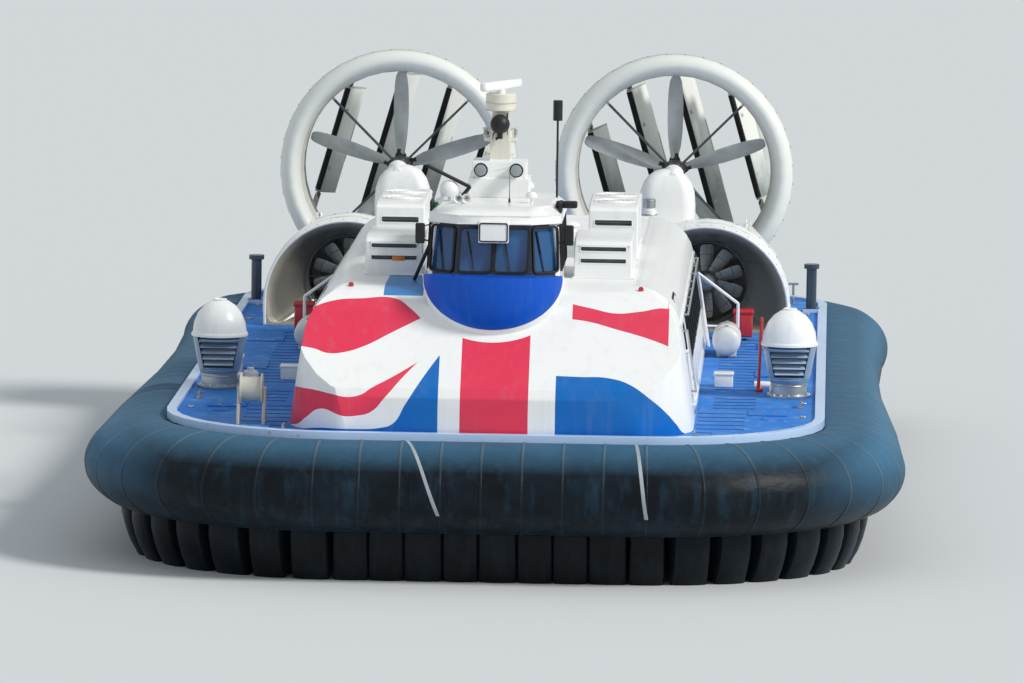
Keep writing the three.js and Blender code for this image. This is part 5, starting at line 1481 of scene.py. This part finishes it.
def pylon_plan(half, front, rear):
    """Outline of a pylon's fairing with rounded corners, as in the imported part."""
    r = min(half, (rear - front) / 2) * 0.9
    right = arc_points((half - r, front + r), r, -90, 0, 6) + arc_points((half - r, rear - r), r, 0, 90, 6)
    return right + [(-u, v) for u, v in reversed(right)]


def foil_plan(nose, chord):
    """Outline of a rudder's section: a round nose and a thin tail."""
    front = [(v, u - 0.06) for u, v in arc_points((0, 0), nose, 90, 270, 8)]
    return front + [(-nose * 0.92, 0.2), (-0.01, chord - 0.138), (0.01, chord - 0.138), (nose * 0.92, 0.2)]


class DuctTrim(bpy.types.Operator):
    """Adds the ducts' bands, blade-track ring, bolts and foot plates, the pylons' seams and the rudders' fittings"""

    bl_idname = "hovercraft.duct_trim"
    bl_label = "Ducts, pylons and rudders"

    def execute(self, context):
        x, front, bore, z = DUCT["x"], DUCT["front"], DUCT["bore"], DUCT["z"]
        for side, sign in SIDES.items():
            s = Shape(side)
            for y, r in ((0.85, bore + 0.355), (1.6, bore + 0.225)):
                s.lathe([(r - 0.02, y - 0.035), (r + 0.006, y - 0.03), (r + 0.004, y + 0.03), (r - 0.024, y + 0.035)],
                        (x, front, z), AFT, 72)
            s.ring(bore + 0.17, 0.03, (x, front + DUCT["chord"] - 0.004, z), AFT, 72)
            s.done("duct_bands", "duct lip gelcoat", "cream_paint", smooth=50, outwards=False)
            s = Shape(side)
            s.lathe([(bore + 0.006, 0.62), (bore - 0.006, 0.63), (bore - 0.006, 0.97), (bore + 0.006, 0.98)],
                    (x, front, z), AFT, 72)
            s.done("blade_track", "blade track", "bare_aluminium", smooth=50, outwards=False)
            bolts, plates = Shape(side), Shape(side)
            for c, v in (polar(1, 9 * k + 4.5) for k in range(40)):
                for y, r in ((0.3, bore + 0.398), (1.45, bore + 0.24)):
                    bolts.stud((x + r * c, front + y, z + r * v), Vector((c, 0, v)), 0.016, 0.012)
            for u in (x - 0.62, x + 0.62):
                for y in (front + 0.36, front + 1.24):
                    for w in (-0.1, 0.1):
                        bolts.stud((u + w, y, FLOOR + 0.016), UP, 0.02, 0.02)
                plates.box((u - 0.15, front + 0.28, FLOOR), (u + 0.15, front + 1.32, FLOOR + 0.016), 0.004, 1)
            bolts.done("duct_bolts", "stainless steel", "bare_aluminium")
            plates.done("duct_foot_plates", "cream satin", "cream_paint")

            # Seams of the pylon's covers
            s = Shape(side)
            strip = (-0.01, -0.02), (0.008, -0.018), (0.008, 0.018), (-0.01, 0.02)
            for level in (2.75, 3.45):
                s.loft([[(x - PYLON_OFFSET + u, v, level + lift)
                         for u, v in pylon_plan(0.5 + grow, CASING["rear"] - 0.004 - grow, front - 0.02 + grow)]
                        for grow, lift in strip], closed=True)
            s.done("pylon_bands", "white gloss", "white_paint")

            # Rudders: end caps, hinge pads, trailing plate and nose strip, then turned, leant and set in the duct
            tail, set_to = RUDDER["chord"], Matrix.Rotation(math.radians(RUDDER["set"]), 4, "Z")
            cap = foil_plan(0.05, tail)
            skin = arc_points((0, 0), 0.056, 90, 270, 8) + arc_points((0, 0), 0.045, 270, 90, 8)
            seat = Matrix.Translation((sign * x, 0, z)) @ Matrix.Rotation(math.radians(-DUCT["cant"] * sign), 4, "Y")
            for i, offset in enumerate(RUDDER["offsets"], 1):
                half = math.sqrt(RUDDER["reach"] ** 2 - offset ** 2) - 0.19
                trim, strip = Shape(), Shape()
                for end in (-1, 1):
                    trim.loft([[(u, v, end * (half - 0.012 + grow)) for u, v in cap] for grow in (0.0, 0.024)])
                for level in (-half * 0.55, half * 0.55):
                    trim.box((-0.049, 0.02, level - 0.035), (0.049, 0.12, level + 0.035), 0.01)
                trim.box((-0.012, tail - 0.21, -half * 0.4), (0.012, tail - 0.137, half * 0.4), 0.004, 1)
                # The black nose strip is partly painted shade: it darkens the leading edge, which lies in shade
                strip.loft([[(v, u - 0.062, level) for u, v in skin] for level in (-half + 0.03, half - 0.03)])
                place_at = seat @ Matrix.Translation((offset, RUDDER["stock"], 0)) @ set_to
                for s in (trim, strip):
                    bmesh.ops.transform(s.bm, matrix=place_at, verts=s.bm.verts)
                body = f"rudder_{side}_{i}"
                trim.done(f"rudder_trim_{side}_{i}", "rudder cap paint", "cream_paint", body)
                strip.done(f"rudder_nose_{side}_{i}", "black rubber", "black_plastic", body, 60)
        return {"FINISHED"}


# Thrusters, deck gear and seats


class ThrusterTrim(bpy.types.Operator):
    """Adds the bow thrusters' brims, outlet vanes, bands, collars and bolts"""

    bl_idname = "hovercraft.thruster_trim"
    bl_label = "Bow thrusters"

    def execute(self, context):
        x, y = THRUSTER["x"], THRUSTER["y"]
        nozzle = "bow_thruster_nozzle"
        for side in SIDES:
            s = Shape(side)
            s.lathe([(0.43, 0.0), (0.458, 0.002), (0.462, 0.03), (0.45, 0.055), (0.43, 0.06)],
                    (x, y, THRUSTER["brim"]), UP, 56)
            s.ring(0.1, 0.014, (x, y, 3.632), UP, 28)
            s.done("thruster_brim", "white gloss", "white_paint", nozzle, 50, False)
            # Vanes across the outlet
            s = Shape(side)
            for i in range(5):
                z, wide = 2.62 + i * 0.095, 0.235 + 0.02 * i
                made = s.box((x - wide, y - 0.31, z), (x + wide, y - 0.12, z + 0.012), 0.004, 1)
                s.turn(made, (x, y - 0.2, z), 0.35, "X")
            s.done("thruster_vanes", "vane gloss", "black_plastic", nozzle)
            s = Shape(side)
            for u, v in (polar(0.33, 22.5 * k) for k in range(16)):
                s.stud((x + u, y + v, FLOOR + 0.05), UP, 0.018, 0.018)
            s.ring(0.294, 0.01, (x, y, 2.4), UP, 48)
            s.done("thruster_collar", "stainless steel", "bare_aluminium")
            s = Shape(side)
            for level, r in ((2.5, 0.325), (3.0, 0.438)):
                s.lathe([(r - 0.012, -0.016), (r + 0.008, -0.012), (r + 0.008, 0.012), (r - 0.012, 0.016)],
                        (x, y, level), UP, 56, math.radians(258), math.radians(-39))
            s.done("thruster_bands", "thruster band gloss", "blue_paint", nozzle, 50, False)
        return {"FINISHED"}


class DeckGear(bpy.types.Operator):
    """Shapes the life-raft canisters with their bands, and adds the vent box, its red latch and the hose pole"""

    bl_idname = "hovercraft.deck_gear"
    bl_label = "Deck gear"

    def execute(self, context):
        x, z = RAFT["x"], RAFT["z"]
        half = [(0.244, 0.02), (0.236, 0.03), (0.236, 0.48), (0.232, 0.51), (0.2, 0.55), (0.12, 0.57), (0.0, 0.575)]
        for side in SIDES:
            bands, raft = Shape(side), Shape(side)
            raft.lathe([(r, -along) for r, along in reversed(half)] + half, (x, RAFT["y"], z), AFT, 48)
            for y in RAFT["bands"]:
                bands.lathe([(0.228, -0.028), (0.238, -0.024), (0.238, 0.024), (0.228, 0.028)], (x, y, z), AFT, 40)
                bands.box((x - 0.035, y - 0.035, z + 0.225), (x + 0.035, y + 0.035, z + 0.262), 0.008)
                raft.box((x - 0.17, y - 0.04, FLOOR + 0.0005), (x + 0.17, y + 0.04, FLOOR + 0.2), 0.02, 3)
            bands.done("liferaft_bands", "grey webbing", "black_plastic", smooth=50, outwards=False)
            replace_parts(raft.done("liferaft_canister", "glass-fibre", "white_paint", smooth=40), f"liferaft_{side}")
        s = Shape()
        s.box((-4.25, -4.62, FLOOR + 0.0005), (-4.0, -4.37, FLOOR + 0.26), 0.05, 4)
        s.rod((-4.125, -4.495, FLOOR + 0.25), (-4.125, -4.495, FLOOR + 0.31), 0.06, 18)
        s.done("deck_vent_starboard", "white gloss", "white_paint")
        s = Shape()
        s.box((-4.16, -4.64, FLOOR + 0.1), (-4.09, -4.615, FLOOR + 0.18), 0.008)
        s.rod((4.12, -4.05, FLOOR), (4.16, -4.1, 3.42), 0.028)
        s.box((4.08, -4.12, FLOOR + 0.001), (4.2, -3.98, FLOOR + 0.06), 0.01)
        s.done("red_fittings", "red gloss", "nose_paint")
        return {"FINISHED"}


class Seats(bpy.types.Operator):
    """Upholsters the rows of cabin seats: a padded cushion and back for each passenger, on moulded frames"""

    bl_idname = "hovercraft.seats"
    bl_label = "Seats"

    def execute(self, context):
        inner, outer = SEATS["inner"], SEATS["outer"]
        wide = (outer - inner) / SEATS["abreast"]
        seat_pad = pad((wide / 2 - 0.02, 0.2, 0.065), 0.022)
        back_pad = pad((wide / 2 - 0.02, 0.058, 0.345), 0.018, upright=True)
        reclined = Matrix.Rotation(math.radians(-14), 4, "X")
        for side in SIDES:
            cushions, backs, frames = (Shape(side) for _ in range(3))
            for y in (SEATS["first"] + row * SEATS["pitch"] for row in range(SEATS["rows"])):
                for x in (inner + wide * (i + 0.5) for i in range(SEATS["abreast"])):
                    cushions.add(seat_pad, Matrix.Translation((x, y + 0.16, FLOOR + 0.375)))
                    backs.add(back_pad, Matrix.Translation((x, y + 0.385, FLOOR + 0.785)) @ reclined)
                for x in (inner + 0.32, outer - 0.44):
                    frames.box((x - 0.025, y + 0.03, FLOOR + 0.03), (x + 0.025, y + 0.33, FLOOR + 0.31), 0.012)
                for i in range(SEATS["abreast"] + 1):
                    x = min(max(inner + wide * i, inner + 0.02), outer - 0.02)
                    frames.box((x - 0.018, y, FLOOR + 0.56), (x + 0.018, y + 0.34, FLOOR + 0.6), 0.012, 3)
                    frames.box((x - 0.014, y + 0.26, FLOOR + 0.3), (x + 0.014, y + 0.34, FLOOR + 0.58), 0.008)
                frames.box((inner + 0.02, y, FLOOR + 0.29), (outer - 0.02, y + 0.36, FLOOR + 0.32), 0.01)
            for x in (0.73, 2.33):
                frames.box((x - 0.03, SEATS["first"] - 0.1, FLOOR + 0.0005), (x + 0.03, 2.04, FLOOR + 0.03), 0.006, 1)
            piece = cushions.done("seat_cushions", "seat cloth", "seat_fabric", smooth=60)
            crown(piece, 0.7)
            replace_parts(piece, f"seats_{side}")
            crown(backs.done("seat_backs", "seat cloth", "seat_fabric", smooth=60), 0.7)
            frames.done("seat_frames", "black moulding", "black_plastic")
        return {"FINISHED"}


class HelmTrim(bpy.types.Operator):
    """Adds screens, wheels, levers and seat pads to the helm"""

    bl_idname = "hovercraft.helm_trim"
    bl_label = "Helm"

    def execute(self, context):
        s = Shape()
        for x in HELM["screens"]:
            made = s.box((x - 0.14, -0.1, 0.0), (x + 0.14, 0.1, 0.012), 0.006)
            s.turn(made, (x, 0, 0), math.atan2(0.1, 0.41), "X")
        s.move(HELM["screen_place"])
        s.done("helm_screens", "instrument screen", "window_glass")
        wheels, pads = Shape(), Shape()
        seat_pad, back_pad = pad((0.22, 0.23, 0.045), 0.02), pad((0.21, 0.045, 0.36), 0.018, upright=True)
        reclined = Matrix.Rotation(math.radians(-11), 4, "X")
        y, z = HELM["wheel_y"], HELM["wheel_z"]
        for x in HELM["seats"]:
            wheels.ring(0.15, 0.014, (x, y, z), (0, 1, 0.25), 36)
            for u, v in (polar(0.15, 120 * k) for k in range(3)):
                wheels.rod((x, y, z), (x + u, y, z + v), 0.01, 8)
            wheels.rod((x, y - 0.1, z + 0.02), (x, y + 0.01, z), 0.025)
            pads.add(seat_pad, Matrix.Translation((x, -7.72, 3.87)))
            pads.add(back_pad, Matrix.Translation((x, -7.49, 4.24)) @ reclined)
        for x in HELM["levers"]:
            wheels.rod((x, y - 0.16, z + 0.11), (x, y - 0.2, z + 0.23), 0.008, 8)
            wheels.rod((x, y - 0.195, z + 0.215), (x, y - 0.205, z + 0.245), 0.02)
        wheels.done("helm_wheels", "black moulding", "black_plastic", smooth=50)
        crown(pads.done("helm_seat_pads", "black vinyl", "black_plastic", smooth=60), 0.75)
        return {"FINISHED"}


# Stage and add-on


class Stage(bpy.types.Operator):
    """Sets the floor, the lights and the camera"""

    bl_idname = "hovercraft.stage"
    bl_label = "Stage"

    def execute(self, context):
        scene, settings = context.scene, context.scene.hovercraft_stage

        def shown(name, data):
            made = bpy.data.objects.new(name, data)
            scene.collection.objects.link(made)
            return made

        bm = bmesh.new()
        bmesh.ops.create_grid(bm, x_segments=2, y_segments=2, size=600)
        mesh = bpy.data.meshes.new("floor")
        bm.to_mesh(mesh)
        bm.free()
        mesh.materials.append(bpy.data.materials["studio floor"])
        shown("floor", mesh)

        scene.world = bpy.data.worlds.new("studio")
        scene.world.use_nodes = True
        background = scene.world.node_tree.nodes["Background"]
        background.inputs["Color"].default_value = linear("#E9EEF2")
        background.inputs["Strength"].default_value = settings.fill

        key = bpy.data.lights.new("key", "SUN")
        key.energy = settings.sun
        key.angle = math.radians(14)
        key.color = (1.0, 0.97, 0.92)
        shown("key", key).rotation_euler = Vector((0.72, -0.3, 0.62)).to_track_quat("Z", "Y").to_euler()

        camera = bpy.data.cameras.new("camera")
        camera.lens = settings.lens
        camera.sensor_width = 36
        camera.clip_end = 2000
        scene.camera = shown("camera", camera)
        spot = Vector(settings.camera)
        turn = (Vector(settings.aim) - spot).to_track_quat("-Z", "Y").to_matrix().to_4x4()
        scene.camera.matrix_world = Matrix.Translation(spot) @ turn @ Matrix.Rotation(settings.roll, 4, "Z")
        scene.view_settings.view_transform = "Standard"
        return {"FINISHED"}


class HovercraftPanel(bpy.types.Panel):
    """Sizes, colours and steps of the hovercraft"""

    bl_idname = "VIEW3D_PT_hovercraft"
    bl_label = "Hovercraft"
    bl_space_type = "VIEW_3D"
    bl_region_type = "UI"
    bl_category = "Hovercraft"

    def draw(self, context):
        for group in SETTINGS:
            box = self.layout.box()
            for name in SETTINGS[group].__annotations__:
                box.prop(getattr(context.scene, group), name)
        for step in STEPS:
            self.layout.operator(step.bl_idname)


SETTINGS = {"hovercraft_skirt": SkirtSettings, "hovercraft_paint": PaintSettings, "hovercraft_stage": StageSettings}
STEPS = (
    Finishes, SkirtBag, SkirtFingers, SkirtTrim, HullPaint, DeckFittings, CabinTrim, WheelhouseTrim, MastTrim,
    RoofBoxTrim, LiftFans, EngineCasings, Propellers, DuctTrim, ThrusterTrim, DeckGear, Seats, HelmTrim, Stage,
)


def register():
    for group, made in SETTINGS.items():
        bpy.utils.register_class(made)
        setattr(bpy.types.Scene, group, bpy.props.PointerProperty(type=made))
    for step in (*STEPS, HovercraftPanel):
        bpy.utils.register_class(step)


def unregister():
    for step in reversed((*STEPS, HovercraftPanel)):
        bpy.utils.unregister_class(step)
    for group, made in reversed(SETTINGS.items()):
        delattr(bpy.types.Scene, group)
        bpy.utils.unregister_class(made)


def main():
    register()
    for step in STEPS:
        section, name = step.bl_idname.split(".")
        getattr(getattr(bpy.ops, section), name)()


if __name__ == "__main__":
    main()
